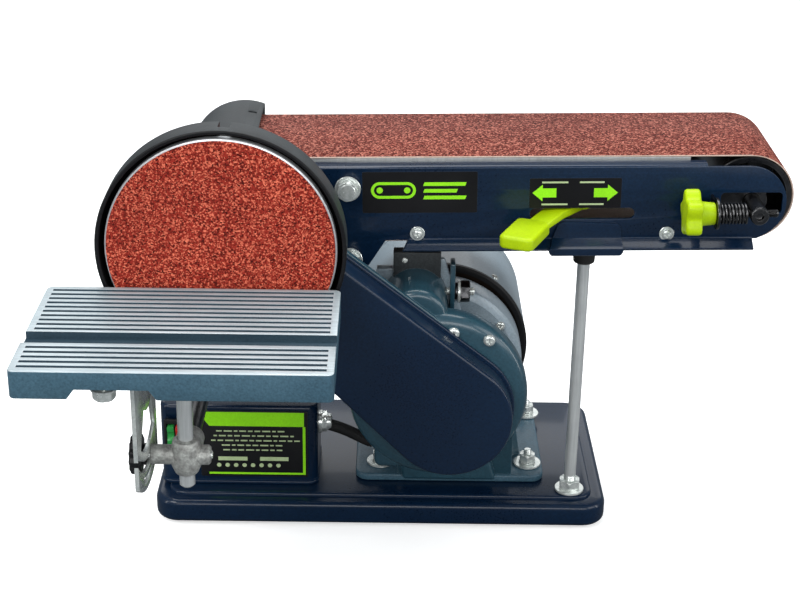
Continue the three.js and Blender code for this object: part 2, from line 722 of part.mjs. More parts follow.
function tableKnuckle() {
  const { y } = TILT;
  const body = join(
    cylZ(8, -128, -121, POST_X, y, ROUND, 10.6),
    cylZ(10.6, -121, -104, POST_X, y, ROUND, 9.8),
    cylZ(9.8, -104, -97.5, POST_X, y, ROUND, 8.6),
    cylX(6.6, POST_X, -2.6, y, STUD_Z, SMALL, 5.8),
    cylX(7, -33, POST_X, y, STUD_Z, SMALL),
    cylY(9, y, y + 24, POST_X, STUD_Z),
  );
  return cut(
    body,
    cylZ(5 + GAP, -150, -90, POST_X, y),
    cylY(SUPPORT.r + GAP, SUPPORT.y0 - GAP, 0, SUPPORT.x, SUPPORT.z),
    cylX(3 + GAP, -40, POST_X - 8, y, STUD_Z, SMALL),
  );
}

const tableSupportBar = () => cylY(SUPPORT.r, SUPPORT.y0, SUPPORT.y1, SUPPORT.x, SUPPORT.z);

function tiltKnob() {
  const x = QUADRANT_X - GAP;
  return join(
    cylX(7, x - 3, x, TILT.y, STUD_Z, SMALL),
    cylX(11.5, x - 10, x - 2, TILT.y, STUD_Z, 12, 13),
    cylX(3, x - 5, POST_X - 10, TILT.y, STUD_Z, SMALL),
  );
}

// ---- prop and arm lock ----------------------------------------------------------------------
const propRod = () => cylZ(PROP.r, BASE.rim - 8, -38, PROP.x, PROP.y, SMALL);

function propNut() {
  const seat = BASE.top + GAP;
  return cut(
    join(cylZ(11, seat, seat + 1.8, PROP.x, PROP.y), hexZ(8.5, seat + 1.7, seat + 9, PROP.x, PROP.y)),
    cylZ(PROP.r + GAP, seat - 1, seat + 12, PROP.x, PROP.y, SMALL),
  );
}

function propCap() {
  return cut(
    cylZ(7.5, -44.5, -30.3, PROP.x, PROP.y, ROUND, 8.5),
    cylZ(PROP.r + GAP, -46, -37.6, PROP.x, PROP.y, SMALL),
  );
}

function armLockKnob() {
  const x = LOCK.x1 + GAP;
  const y = LOCK.y - 2;
  return join(
    cylX(9, x + 2, x + 12, y, LOCK.z, 12, 8),
    cylX(6.5, x, x + 3, y, LOCK.z, SMALL),
    cylX(3, LOCK.x0 - 6, x + 3, y, LOCK.z, SMALL),
  );
}

// ---- assembly -------------------------------------------------------------------------------
function named(name, made, finish) {
  const mesh = new THREE.Mesh(geometryOf(made), finish);
  mesh.name = name;
  return mesh;
}

const group = (...meshes) => new THREE.Group().add(...meshes);

const base = group(
  named("base_pan", basePan(), NAVY),
  ...FEET.map(([place, x, y]) => named(`rubber_foot_${place}`, rubberFoot(x, y), RUBBER)),
  named("switch_box", switchBox(), NAVY),
  named("switch_body", switchBody(), PLASTIC),
  ...BUTTONS.map(([name, x, colour]) => named(name, pushButton(x), colour)),
  named("rating_plate", ratingPlate(), PLASTIC),
  named("cord_gland", cordGland(), PLASTIC),
  named("motor_lead", motorLead(), RUBBER),
  named("motor_casting", motorCasting(), TEAL),
  ...CASTING_BOLTS.map(([place, x, y]) => named(`casting_bolt_${place}`, castingBolt(x, y), ZINC)),
  named("belt_cover", beltCover(), NAVY),
  named("drive_belt", driveBelt(), RUBBER),
  named("prop_rod", propRod(), ZINC),
  named("prop_nut", propNut(), ZINC),
  named("prop_cap", propCap(), RUBBER),
  named("arm_lock_knob", armLockKnob(), PLASTIC),
);

const spindle = group(
  named("disc_guard", discGuard(), DARK),
  named("disc_paper", discPaper(), ABRASIVE),
  named("disc_plate", discPlate(), ALUMINIUM),
  named("drive_shaft", driveShaft(), STEEL),
  named("front_bearing", bearing(58), STEEL),
  named("rear_bearing", bearing(77), STEEL),
  named("driven_pulley", pulley(SHAFT_R + GAP), ALUMINIUM),
  named("drive_drum", drum(SHAFT_R + GAP), ALUMINIUM),
);

const motor = group(
  named("motor_front_shield", motorFrontShield(), GREY),
  named("motor_shell", motorShell(), GREY),
  named("motor_fan_cover", motorFanCover(), GREY),
  named("stator_core", statorCore(), COPPER),
  named("rotor_core", rotorCore(), STEEL),
  named("motor_shaft", motorShaft(), STEEL),
  named("cooling_fan", coolingFan(), PLASTIC),
  named("motor_pulley", pulley(7 + GAP), ALUMINIUM),
);
motor.position.set(MOTOR.x, 0, MOTOR.z);

const idlerDrum = named("idler_drum", drum(6 + GAP), ALUMINIUM);
idlerDrum.position.x = DRUM_SPACING;

const tensionLeverMesh = named("tension_lever", tensionLever(), LIME);
const leverGroup = group(tensionLeverMesh);
tensionLeverMesh.position.set(-LEVER_PIVOT.x, -LEVER_PIVOT.y, 0);
leverGroup.position.set(LEVER_PIVOT.x, LEVER_PIVOT.y, 0);
leverGroup.rotation.z = LEVER_ANGLE;

const arm = group(
  named("arm_side_plate", armSidePlate(), NAVY),
  named("arm_beam", armBeam(), STEEL),
  named("platen", platen(), STEEL),
  named("sanding_belt", sandingBelt(), ABRASIVE),
  named("drum_hood", drumHood(), DARK),
  named("prop_bracket", propBracket(), NAVY),
  ...ARM_BOLTS.map(([place, x, z]) => named(`arm_bolt_${place}`, armBolt(x, z), ZINC)),
  leverGroup,
  named("idler_yoke", idlerYoke(), STEEL),
  named("idler_axle", idlerAxle(), STEEL),
  idlerDrum,
  named("tracking_knob", trackingKnob(), LIME),
  named("tracking_screw", trackingScrew(), STEEL),
  named("tracking_spring", trackingSpring(), DARK),
);

arm.rotation.y = -ARM_REST;

const table = group(
  named("table_top", tableTop(), ALUMINIUM),
  named("tilt_quadrant", tiltQuadrant(), ZINC),
  named("table_post", tablePost(), STEEL),
  named("table_knuckle", tableKnuckle(), CAST),
  named("table_support_bar", tableSupportBar(), STEEL),
  named("tilt_knob", tiltKnob(), PLASTIC),
);

const sander = group(base, spindle, motor, arm, table);
sander.position.copy(DRIVE_AXIS);

export default group(sander);
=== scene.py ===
# Bench belt and disc sander: a 100 mm sanding belt on a tilting arm, a 150 mm disc with a tilting
# table, one induction motor behind a painted casting, and a pressed steel base. The sizes below are
# millimetres from the drive axis where it meets the disc's face; at() turns them into the frame.
import math

import bpy
from mathutils import Matrix, Vector


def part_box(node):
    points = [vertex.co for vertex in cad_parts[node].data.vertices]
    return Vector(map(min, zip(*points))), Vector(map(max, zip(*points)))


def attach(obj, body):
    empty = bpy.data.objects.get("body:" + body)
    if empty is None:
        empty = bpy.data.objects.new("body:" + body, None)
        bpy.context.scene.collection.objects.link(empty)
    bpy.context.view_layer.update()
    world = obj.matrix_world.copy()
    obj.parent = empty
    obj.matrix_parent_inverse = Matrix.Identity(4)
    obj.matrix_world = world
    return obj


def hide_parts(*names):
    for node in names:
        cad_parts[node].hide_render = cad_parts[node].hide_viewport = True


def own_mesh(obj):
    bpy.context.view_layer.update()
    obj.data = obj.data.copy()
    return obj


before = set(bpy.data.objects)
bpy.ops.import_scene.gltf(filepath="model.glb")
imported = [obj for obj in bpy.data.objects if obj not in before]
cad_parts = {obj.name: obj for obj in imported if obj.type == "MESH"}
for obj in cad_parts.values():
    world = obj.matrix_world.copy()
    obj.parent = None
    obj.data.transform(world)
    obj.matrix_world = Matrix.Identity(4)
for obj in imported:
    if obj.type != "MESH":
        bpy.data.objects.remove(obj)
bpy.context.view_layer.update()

disc_low, disc_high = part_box("disc_paper")
DRIVE = Vector(((disc_low.x + disc_high.x) / 2, disc_low.y, (disc_low.z + disc_high.z) / 2))


def at(x, y, z):
    return DRIVE + Vector((x, y, z)) / 1000


# ---- camera, floor and light ------------------------------------------------------------------
# A long lens a metre in front of the machine, looking a little down at it. The machine stands on a
# pale floor under a wide soft light from above, with one soft box on each side of the camera.
LENS = 73.2
LOOK_DOWN = math.radians(23.73)
LOOK_RIGHT = math.radians(0.43)
CAMERA_ROLL = math.radians(0.95)

bpy.ops.object.select_all(action="DESELECT")
bpy.ops.object.camera_add(location=at(109.1, -975, 395.9))
camera = bpy.context.object
camera.data.lens = LENS
camera.data.sensor_width = 36
camera.rotation_euler = (
    Matrix.Rotation(-LOOK_RIGHT, 3, "Z")
    @ Matrix.Rotation(math.pi / 2 - LOOK_DOWN, 3, "X")
    @ Matrix.Rotation(CAMERA_ROLL, 3, "Z")
).to_euler()
bpy.context.scene.camera = camera
bpy.context.scene.view_settings.view_transform = "Standard"

bpy.ops.mesh.primitive_plane_add(size=14, location=(0, 0, 0))
floor = bpy.context.object
floor.name = "studio_floor"
floor_paint = bpy.data.materials.new("studio_floor")
floor_paint.use_nodes = True
floor_shader = floor_paint.node_tree.nodes["Principled BSDF"]
floor_shader.inputs["Base Color"].default_value = (0.9, 0.9, 0.9, 1)
floor_shader.inputs["Roughness"].default_value = 0.9
floor_shader.inputs["Specular IOR Level"].default_value = 0
floor_shader.inputs["Emission Color"].default_value = (1, 1, 1, 1)
floor_tree = floor_paint.node_tree
straight = floor_tree.nodes.new("ShaderNodeLightPath").outputs["Is Camera Ray"]
floor_tint = floor_tree.nodes.new("ShaderNodeMix")
floor_tint.data_type = "RGBA"
floor_tint.inputs[6].default_value = (0.16, 0.17, 0.18, 1)
floor_tint.inputs[7].default_value = (0.9, 0.9, 0.9, 1)
floor_glow = floor_tree.nodes.new("ShaderNodeMath")
floor_glow.operation = "MULTIPLY"
floor_glow.inputs[1].default_value = 0.5
floor_tree.links.new(straight, floor_tint.inputs[0])
floor_tree.links.new(straight, floor_glow.inputs[0])
floor_tree.links.new(floor_tint.outputs[2], floor_shader.inputs["Base Color"])
floor_tree.links.new(floor_glow.outputs[0], floor_shader.inputs["Emission Strength"])
floor.data.materials.append(floor_paint)

world = bpy.data.worlds.new("studio")
bpy.context.scene.world = world
world.use_nodes = True
studio = world.node_tree
backdrop = studio.nodes["Background"]
backdrop.inputs["Color"].default_value = (1, 1, 1, 1)
dim_room = studio.nodes.new("ShaderNodeBackground")
dim_room.inputs["Color"].default_value = (0.86, 0.94, 1, 1)
dim_room.inputs["Strength"].default_value = 0.36
seen_by = studio.nodes.new("ShaderNodeLightPath")
either = studio.nodes.new("ShaderNodeMixShader")
studio.links.new(seen_by.outputs["Is Camera Ray"], either.inputs[0])
studio.links.new(dim_room.outputs[0], either.inputs[1])
studio.links.new(backdrop.outputs[0], either.inputs[2])
studio.links.new(either.outputs[0], studio.nodes["World Output"].inputs["Surface"])


def soft_box(name, place, target, width, height, power):
    bpy.ops.object.light_add(type="AREA", location=place)
    light = bpy.context.object
    light.name = name
    light.data.shape = "RECTANGLE"
    light.data.size = width
    light.data.size_y = height
    light.data.energy = power
    light.rotation_euler = (Vector(target) - Vector(place)).to_track_quat("-Z", "Y").to_euler()


soft_box("key", (-0.9, -1.1, 1.5), (0, 0, 0.15), 1.0, 0.8, 19)
soft_box("fill", (1.3, -1.0, 0.9), (0.05, 0, 0.2), 0.9, 0.9, 8)
soft_box("top", (0.1, 0.5, 1.7), (0, 0, 0.2), 1.6, 1.0, 24)
soft_box("back", (0.1, 1.9, 0.95), (0.05, 0, 0.1), 2.4, 0.5, 5.5)
soft_box("front", (0.1, -1.8, 0.75), (0.05, 0, 0.15), 1.5, 0.5, 12)
soft_box("left_strip", (-1.3, -0.5, 0.45), (0, 0, 0.15), 0.16, 0.9, 3.2)
soft_box("right_strip", (1.3, -0.25, 0.4), (0.1, 0, 0.15), 0.16, 0.8, 3)


# ---- base pan and feet --------------------------------------------------------------------------
# One deep-drawn steel pan with a raised platform inside a rounded border, in glossy navy enamel. Four
# rubber feet are pushed into it from below.
def new_group(name, inputs, outputs):
    tree = bpy.data.node_groups.new(name, "ShaderNodeTree")
    for label, kind, value in inputs:
        socket = tree.interface.new_socket(label, in_out="INPUT", socket_type=kind)
        socket.default_value = value
    for label, kind in outputs:
        tree.interface.new_socket(label, in_out="OUTPUT", socket_type=kind)
    return tree, tree.nodes.new("NodeGroupInput"), tree.nodes.new("NodeGroupOutput")


def node(tree, kind, links=(), **settings):
    """Adds a node. links pairs its input sockets with values or with other nodes' outputs."""
    made = tree.nodes.new(kind)
    for key, value in settings.items():
        setattr(made, key, value)
    for socket, value in dict(links).items():
        if isinstance(value, bpy.types.NodeSocket):
            tree.links.new(value, made.inputs[socket])
        else:
            made.inputs[socket].default_value = value
    return made


FLOAT, COLOUR, VECTOR = "NodeSocketFloat", "NodeSocketColor", "NodeSocketVector"

# Every finish mixes two close colours by a slow cloud, adds a fine grain to the bump and the roughness, and
# lightens the edges as a painted highlight, broken up by the grain like wear, so that no face is one flat
# colour.
skin, skin_in, skin_out = new_group(
    "worked surface",
    [
        ("Colour", COLOUR, (0.5, 0.5, 0.5, 1)), ("Cloud Colour", COLOUR, (0.4, 0.4, 0.4, 1)),
        ("Edge Highlight And Wear Colour", COLOUR, (0.7, 0.7, 0.7, 1)), ("Cloud Scale", FLOAT, 20), ("Grain Scale", FLOAT, 900),
        ("Grain Stretch", VECTOR, (1, 1, 1)), ("Grain Share", FLOAT, 0.3), ("Edge Highlight And Wear Share", FLOAT, 0.3),
        ("Roughness", FLOAT, 0.4), ("Roughness Spread", FLOAT, 0.1)
    ],
    [("Colour", COLOUR), ("Roughness", FLOAT), ("Height", FLOAT)]
)
place = node(skin, "ShaderNodeTexCoord").outputs["Object"]
cloud = node(
    skin, "ShaderNodeTexNoise", {"Vector": place, "Scale": skin_in.outputs["Cloud Scale"], "Detail": 4.0}
)
stretched = node(
    skin, "ShaderNodeVectorMath", {0: place, 1: skin_in.outputs["Grain Stretch"]}, operation="MULTIPLY"
)
grain = node(
    skin, "ShaderNodeTexNoise",
    {"Vector": stretched.outputs[0], "Scale": skin_in.outputs["Grain Scale"], "Detail": 3.0, "Roughness": 0.6}
)
cloud_mask = node(
    skin, "ShaderNodeMapRange", {"Value": cloud.outputs["Fac"], "From Min": 0.35, "From Max": 0.68}
)


def mixed(tree, share, first, second, way="MIX"):
    """A colour between two colours; share says how much of the second."""
    made = node(tree, "ShaderNodeMix", {0: share, 6: first, 7: second}, data_type="RGBA", blend_type=way)
    return made.outputs[2]


def sums(tree, way, first, second):
    return node(tree, "ShaderNodeMath", {0: first, 1: second}, operation=way).outputs[0]


def remap(tree, value, low, high, to_low=0.0, to_high=1.0):
    links = {0: value, 1: low, 2: high, 3: to_low, 4: to_high}
    return node(tree, "ShaderNodeMapRange", links).outputs["Result"]


clouded = mixed(
    skin, cloud_mask.outputs["Result"], skin_in.outputs["Colour"], skin_in.outputs["Cloud Colour"]
)
grain_mask = remap(skin, grain.outputs["Fac"], 0.3, 0.7)
dark_grain = mixed(skin, grain_mask, (0.55, 0.55, 0.55, 1), (1.3, 1.3, 1.3, 1))
grained = mixed(
    skin, skin_in.outputs["Grain Share"], clouded, mixed(skin, 1.0, clouded, dark_grain, "MULTIPLY")
)
# Along rounded edges the colour moves toward the lighter edge colour: a painted highlight, broken up by the
# grain like wear.
rounded = node(skin, "ShaderNodeBevel", {"Radius": 0.0009}, samples=4)
true_normal = node(skin, "ShaderNodeNewGeometry").outputs["Normal"]
facing = node(skin, "ShaderNodeVectorMath", {0: rounded.outputs[0], 1: true_normal}, operation="DOT_PRODUCT")
edge = remap(skin, facing.outputs["Value"], 0.995, 0.86)
edge_wear_and_highlight = sums(skin, "MULTIPLY", edge, remap(skin, grain.outputs["Fac"], 0.35, 0.6, 0.35, 1.0))
edge_highlight_and_wear_share = sums(skin, "MULTIPLY", edge_wear_and_highlight, skin_in.outputs["Edge Highlight And Wear Share"])
worn_and_highlit = mixed(skin, edge_highlight_and_wear_share, grained, skin_in.outputs["Edge Highlight And Wear Colour"])
skin.links.new(worn_and_highlit, skin_out.inputs["Colour"])
uneven = sums(skin, "SUBTRACT", sums(skin, "ADD", cloud.outputs["Fac"], grain.outputs["Fac"]), 1.0)
spread = sums(skin, "MULTIPLY", uneven, skin_in.outputs["Roughness Spread"])
roughness = sums(skin, "ADD", skin_in.outputs["Roughness"], spread)
skin.links.new(roughness, skin_out.inputs["Roughness"])
skin.links.new(grain.outputs["Fac"], skin_out.inputs["Height"])


# The edge colour given to each finish is lighter than its body: a painted highlight along the edges, worn in
# patches.
def finish(
    name, colour, cloud_colour, edge_highlight_and_wear_colour, roughness, bump, metallic=0.0, coat=0.0, cloud_scale=18,
    grain_scale=900, grain_stretch=(1, 1, 1), grain_share=0.25, edge_highlight_and_wear_share=0.4, spread=0.12, specular=0.5
):
    """A material from the worked-surface group. bump is the height of the grain in millimetres."""
    material = bpy.data.materials.new(name)
    material.use_nodes = True
    tree = material.node_tree
    shader = tree.nodes["Principled BSDF"]
    surface = node(tree, "ShaderNodeGroup", node_tree=skin)
    values = {
        "Colour": (*colour, 1), "Cloud Colour": (*cloud_colour, 1), "Edge Highlight And Wear Colour": (*edge_highlight_and_wear_colour, 1),
        "Cloud Scale": cloud_scale, "Grain Scale": grain_scale, "Grain Stretch": grain_stretch,
        "Grain Share": grain_share, "Edge Highlight And Wear Share": edge_highlight_and_wear_share, "Roughness": roughness,
        "Roughness Spread": spread
    }
    for socket, value in values.items():
        surface.inputs[socket].default_value = value
    relief = node(tree, "ShaderNodeBump", {"Height": surface.outputs["Height"], "Distance": bump / 1000})
    tree.links.new(surface.outputs["Colour"], shader.inputs["Base Color"])
    tree.links.new(surface.outputs["Roughness"], shader.inputs["Roughness"])
    tree.links.new(relief.outputs["Normal"], shader.inputs["Normal"])
    shader.inputs["Metallic"].default_value = metallic
    shader.inputs["Coat Weight"].default_value = coat
    shader.inputs["Coat Roughness"].default_value = 0.08
    shader.inputs["Specular IOR Level"].default_value = specular
    return material


NAVY = finish(
    "navy enamel", (0.0018, 0.0105, 0.031), (0.0035, 0.016, 0.042), (0.03, 0.06, 0.12), roughness=0.3,
    bump=0.03, coat=0.3, grain_scale=640, grain_share=0.6, cloud_scale=9, specular=0.2
)
RUBBER = finish(
    "black rubber", (0.011, 0.011, 0.011), (0.016, 0.016, 0.016), (0.04, 0.04, 0.04), roughness=0.72,
    bump=0.05, grain_scale=900, cloud_scale=40, specular=0.3
)
PLACE = {
    "X": lambda a, b, along: (along, a, b), "Y": lambda a, b, along: (a, along, b), "Z": lambda a, b,
    along: (a, b, along)
}
WAY = {"X": Vector((1, 0, 0)), "Y": Vector((0, 1, 0)), "Z": Vector((0, 0, 1))}


def only(piece):
    bpy.ops.object.select_all(action="DESELECT")
    piece.select_set(True)
    bpy.context.view_layer.objects.active = piece
    return piece


def corners(name, points, fill):
    """A ring of corners at the given places, from a circle primitive."""
    bpy.ops.object.select_all(action="DESELECT")
    bpy.ops.mesh.primitive_circle_add(vertices=len(points), fill_type=fill)
    piece = bpy.context.object
    piece.name = name
    piece.data.name = name
    for vertex, point in zip(piece.data.vertices, points):
        vertex.co = at(*point)
    return piece


def slab(name, outline, axis, start, end):
    """An outline drawn across an axis, pulled from start to end."""
    piece = corners(name, [PLACE[axis](a, b, start) for a, b in outline], "NGON")
    bpy.ops.object.mode_set(mode="EDIT")
    bpy.ops.mesh.select_all(action="SELECT")
    pull = WAY[axis] * (end - start) / 1000
    bpy.ops.mesh.extrude_region_move(TRANSFORM_OT_translate={"value": pull})
    bpy.ops.mesh.select_all(action="SELECT")
    bpy.ops.mesh.normals_make_consistent(inside=False)
    bpy.ops.object.mode_set(mode="OBJECT")
    return piece


def turned(name, profile, axis, centre, steps=96):
    """A closed profile of (radius, along) points spun round a line that runs along the axis."""
    a, b = centre
    points = [PLACE[axis](a + radius, b, along) for radius, along in profile]
    piece = corners(name, points, "NOTHING")
    bpy.ops.object.mode_set(mode="EDIT")
    bpy.ops.mesh.select_all(action="SELECT")
    middle = at(*PLACE[axis](a, b, 0))
    bpy.ops.mesh.spin(steps=steps, angle=math.tau, center=middle, axis=WAY[axis])
    bpy.ops.mesh.select_all(action="SELECT")
    bpy.ops.mesh.remove_doubles(threshold=2e-6)
    bpy.ops.mesh.delete_loose(use_verts=True, use_edges=True, use_faces=False)
    bpy.ops.mesh.select_all(action="SELECT")
    bpy.ops.mesh.normals_make_consistent(inside=False)
    bpy.ops.object.mode_set(mode="OBJECT")
    return piece


def arc(centre_a, centre_b, radius, start, end, count):
    """Points along an arc, in degrees, both ends included."""
    points = []
    for i in range(count + 1):
        angle = math.radians(start + (end - start) * i / count)
        points.append((centre_a + radius * math.cos(angle), centre_b + radius * math.sin(angle)))
    return points


def soft_rectangle(a0, a1, b0, b1, radius, count=6):
    return [
        *arc(a1 - radius, b0 + radius, radius, -90, 0, count),
        *arc(a1 - radius, b1 - radius, radius, 0, 90, count),
        *arc(a0 + radius, b1 - radius, radius, 90, 180, count),
        *arc(a0 + radius, b0 + radius, radius, 180, 270, count)
    ]


def carved(piece, way, *others):
    """Cuts, joins or trims the piece by each other solid in turn. The other solid is used up."""
    for other in others:
        knife = only(piece).modifiers.new("knife", "BOOLEAN")
        knife.operation = way
        knife.solver = "EXACT"
        knife.object = other
        bpy.ops.object.modifier_apply(modifier="knife")
        bpy.data.objects.remove(other, do_unlink=True)
    return piece


def without(piece, *cutters):
    return carved(piece, "DIFFERENCE", *cutters)


def eased(piece, width=0.4, segments=2, from_angle=30):
    """Breaks the sharp edges by width and smooths what is round."""
    only(piece)
    if width:
        edge_break = piece.modifiers.new("edge break", "BEVEL")
        edge_break.width = width / 1000
        edge_break.segments = segments
        edge_break.limit_method = "ANGLE"
        edge_break.angle_limit = math.radians(from_angle)
        edge_break.use_clamp_overlap = True
        bpy.ops.object.modifier_apply(modifier="edge break")
    bpy.ops.object.shade_smooth_by_angle(angle=math.radians(from_angle))
    return piece


def coated(piece, material):
    piece.data.materials.clear()
    piece.data.materials.append(material)
    return piece


def smooth(piece, material):
    return coated(eased(piece, 0), material)


ARM_REST = math.radians(1.15)
LIFTED = ("arm", "lever", "idler_carrier", "idler", "tracking")
lift = Matrix.Translation(DRIVE) @ Matrix.Rotation(-ARM_REST, 4, "Y") @ Matrix.Translation(-DRIVE)


def placed(piece, body, slot, *nodes):
    """Sends a finished piece to its body. What rides on the arm is first lifted to the prop's height."""
    if body in LIFTED:
        piece.data.transform(lift)
    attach(piece, body)
    if nodes:
        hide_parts(*nodes)
    return piece


PAN = {"x0": -65, "x1": 275, "y0": 79, "y1": 252, "low": -253, "rim": -234.5, "top": -232}
SHEET = 2
border = soft_rectangle(PAN["x0"], PAN["x1"], PAN["y0"], PAN["y1"], 18, 10)
tray = slab("base_pan_enamelled", border, "Z", PAN["low"], PAN["rim"])
eased(tray, 4.5, 5, 60)
platform = slab(
    "platform", soft_rectangle(PAN["x0"] + 10, PAN["x1"] - 10, PAN["y0"] + 10, PAN["y1"] - 10, 13, 10), "Z",
    PAN["rim"] - 5, PAN["top"]
)
eased(platform, 1.9, 4, 60)
carved(tray, "UNION", platform)
hollow = slab(
    "hollow",
    soft_rectangle(PAN["x0"] + SHEET, PAN["x1"] - SHEET, PAN["y0"] + SHEET, PAN["y1"] - SHEET, 16, 10), "Z",
    PAN["low"] - 10, PAN["rim"] - SHEET - 3
)
without(tray, hollow)
eased(tray, 0)
placed(coated(tray, NAVY), "base", "navy_paint", "base_pan")

for place_name in ("front_left", "front_right", "back_left", "back_right"):
    low, high = ((corner - DRIVE) * 1000 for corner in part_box(f"rubber_foot_{place_name}"))
    centre = ((low.x + high.x) / 2, (low.y + high.y) / 2)
    profile = [(0, low.z), (8.2, low.z), (9.4, low.z + 0.8), (11, high.z - 1), (11, high.z), (0, high.z)]
    foot = turned(f"foot_{place_name}", profile, "Z", centre, 48)
    placed(smooth(foot, RUBBER), "base", "rubber", f"rubber_foot_{place_name}")


# ---- switch box, switch and rating plate ----------------------------------------------------------
# A small pressed box stands on the left of the pan and holds the rocker switch, with its green and
# red keys, and a printed rating plate. Its cord gland is at the back.
PLASTIC = finish(
    "black plastic", (0.008, 0.008, 0.009), (0.012, 0.012, 0.013), (0.05, 0.05, 0.052), roughness=0.4,
    bump=0.03, grain_scale=1100, cloud_scale=40, specular=0.3
)
GREEN = finish(
    "green plastic", (0.02, 0.3, 0.05), (0.015, 0.25, 0.04), (0.12, 0.42, 0.14), roughness=0.36, bump=0.02,
    grain_share=0.1, cloud_scale=80
)
RED = finish(
    "red plastic", (0.5, 0.018, 0.012), (0.42, 0.014, 0.01), (0.65, 0.1, 0.07), roughness=0.36, bump=0.02,
    grain_share=0.1, cloud_scale=80
)
INK = finish(
    "lime ink", (0.32, 0.85, 0.016), (0.28, 0.78, 0.014), (0.4, 0.85, 0.06), roughness=0.4, bump=0.01,
    grain_share=0.2, cloud_scale=60, specular=0.2
)
PALE_INK = finish(
    "pale ink", (0.5, 0.62, 0.34), (0.42, 0.53, 0.28), (0.56, 0.62, 0.44), roughness=0.45, bump=0.01,
    grain_share=0.2, cloud_scale=90, specular=0.2
)


def rod(name, radius, axis, centre, start, end, edge=0.0, steps=48):
    """A turned rod with its two ends chamfered by edge."""
    profile = [(0, start), (radius - edge, start), (radius, start + edge), (radius, end - edge)]
    profile += [(radius - edge, end), (0, end)]
    if edge == 0:
        profile = [(0, start), (radius, start), (radius, end), (0, end)]
    return turned(name, profile, axis, centre, steps)


def brick(name, x0, x1, y0, y1, z0, z1):
    return slab(name, [(x0, y0), (x1, y0), (x1, y1), (x0, y1)], "Z", z0, z1)


def assembled(name, *pieces):
    """Several finished solids as one object, each keeping its own finish."""
    bpy.ops.object.select_all(action="DESELECT")
    for piece in pieces:
        piece.select_set(True)
    bpy.context.view_layer.objects.active = pieces[0]
    if len(pieces) > 1:
        bpy.ops.object.join()
    pieces[0].name = name
    pieces[0].data.name = name
    return pieces[0]


BOX = {"x0": -61, "x1": 57, "y0": 102.5, "y1": 165, "top": -166}
SWITCH = {"x0": -58, "x1": -41, "z0": -201, "z1": -177}
front = BOX["y0"]
case = slab(
    "switch_box_enamelled", soft_rectangle(BOX["x0"], BOX["x1"], BOX["y0"], BOX["y1"], 8, 10), "Z",
    PAN["top"] + 0.3, BOX["top"]
)
eased(case, 2.4, 4, 60)
key_hole = brick(
    "key_hole", SWITCH["x0"] + 1.6, SWITCH["x1"] - 1.6, front - 1, front + 6, SWITCH["z0"] + 3.2,
    SWITCH["z1"] - 3.2
)
without(case, key_hole)
foot_flange = slab(
    "foot_flange",
    soft_rectangle(BOX["x0"] - 0.5, BOX["x1"] + 0.5, BOX["y0"] - 1.6, BOX["y1"] + 0.5, 8.5, 10), "Z",
    PAN["top"] + 0.3, PAN["top"] + 3.2
)
eased(foot_flange, 1.0, 3, 60)
case = assembled("switch_box_enamelled", coated(case, NAVY), coated(foot_flange, NAVY))
placed(case, "base", "navy_paint", "switch_box")

bezel = slab(
    "bezel", soft_rectangle(SWITCH["x0"], SWITCH["x1"], SWITCH["z0"], SWITCH["z1"], 1.6), "Y", front - 2.3,
    front - 0.05
)
wells = brick(
    "wells", SWITCH["x0"] + 2, SWITCH["x1"] - 2, front - 5, front + 1, SWITCH["z0"] + 3.6, SWITCH["z1"] - 3.6
)
without(bezel, wells)
mullion = brick("mullion", -49.8, -49.2, front - 2.2, front - 0.7, SWITCH["z0"] + 3, SWITCH["z1"] - 3)
bezel = assembled("switch_bezel", coated(eased(bezel, 0.35), PLASTIC), coated(mullion, PLASTIC))
placed(bezel, "base", "black_plastic", "switch_body")

for key_name, key_colour, slot_name, body in (
    ("start_button", GREEN, "green_plastic", "start"), ("stop_button", RED, "red_plastic", "stop")
):
    low, high = ((corner - DRIVE) * 1000 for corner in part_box(key_name))
    key = slab(f"{key_name}_key", soft_rectangle(low.x, high.x, low.z, high.z, 0.9), "Y", low.y, front - 0.2)
    thumb = rod("thumb", 5.2, "X", (low.y - 3.6, (low.z + high.z) / 2), low.x - 1, high.x + 1)
    without(key, thumb)
    placed(coated(eased(key, 0.4), key_colour), body, slot_name, key_name)

plate_low, plate_high = ((corner - DRIVE) * 1000 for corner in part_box("rating_plate"))
PLATE = {"x0": plate_low.x, "x1": plate_high.x, "z0": plate_low.z, "z1": plate_high.z}
PLATE_FACE = plate_low.y
PRINT = 0.12


def printed(name, outline, ink, face=PLATE_FACE):
    """A patch of ink on a plate that faces the front."""
    return coated(slab(name, outline, "Y", face - PRINT, face + 0.1), ink)


def bar_outline(x0, x1, z0, z1):
    return [(x0, z0), (x1, z0), (x1, z1), (x0, z1)]


plate = slab(
    "rating_plate_printed", soft_rectangle(PLATE["x0"], PLATE["x1"], PLATE["z0"], PLATE["z1"], 1.0), "Y",
    PLATE_FACE, plate_high.y
)
marks = [coated(eased(plate, 0.15), PLASTIC)]
header = [
    (PLATE["x0"] + 7, PLATE["z1"] - 12.6), (PLATE["x1"] - 2.6, PLATE["z1"] - 12.6),
    (PLATE["x1"] - 2.6, PLATE["z1"] - 0.9), (PLATE["x0"] + 2, PLATE["z1"] - 0.9),
    (PLATE["x0"] + 2, PLATE["z1"] - 6)
]
marks.append(printed("header", header, INK))
marks.append(
    printed(
        "side_rule", bar_outline(PLATE["x1"] - 3.6, PLATE["x1"] - 1.6, PLATE["z0"] + 1.8, PLATE["z1"] - 12.8),
        INK
    )
)
marks.append(
    printed(
        "low_rule", bar_outline(PLATE["x0"] + 6, PLATE["x1"] - 3.7, PLATE["z0"] + 1.8, PLATE["z0"] + 3.4), INK
    )
)
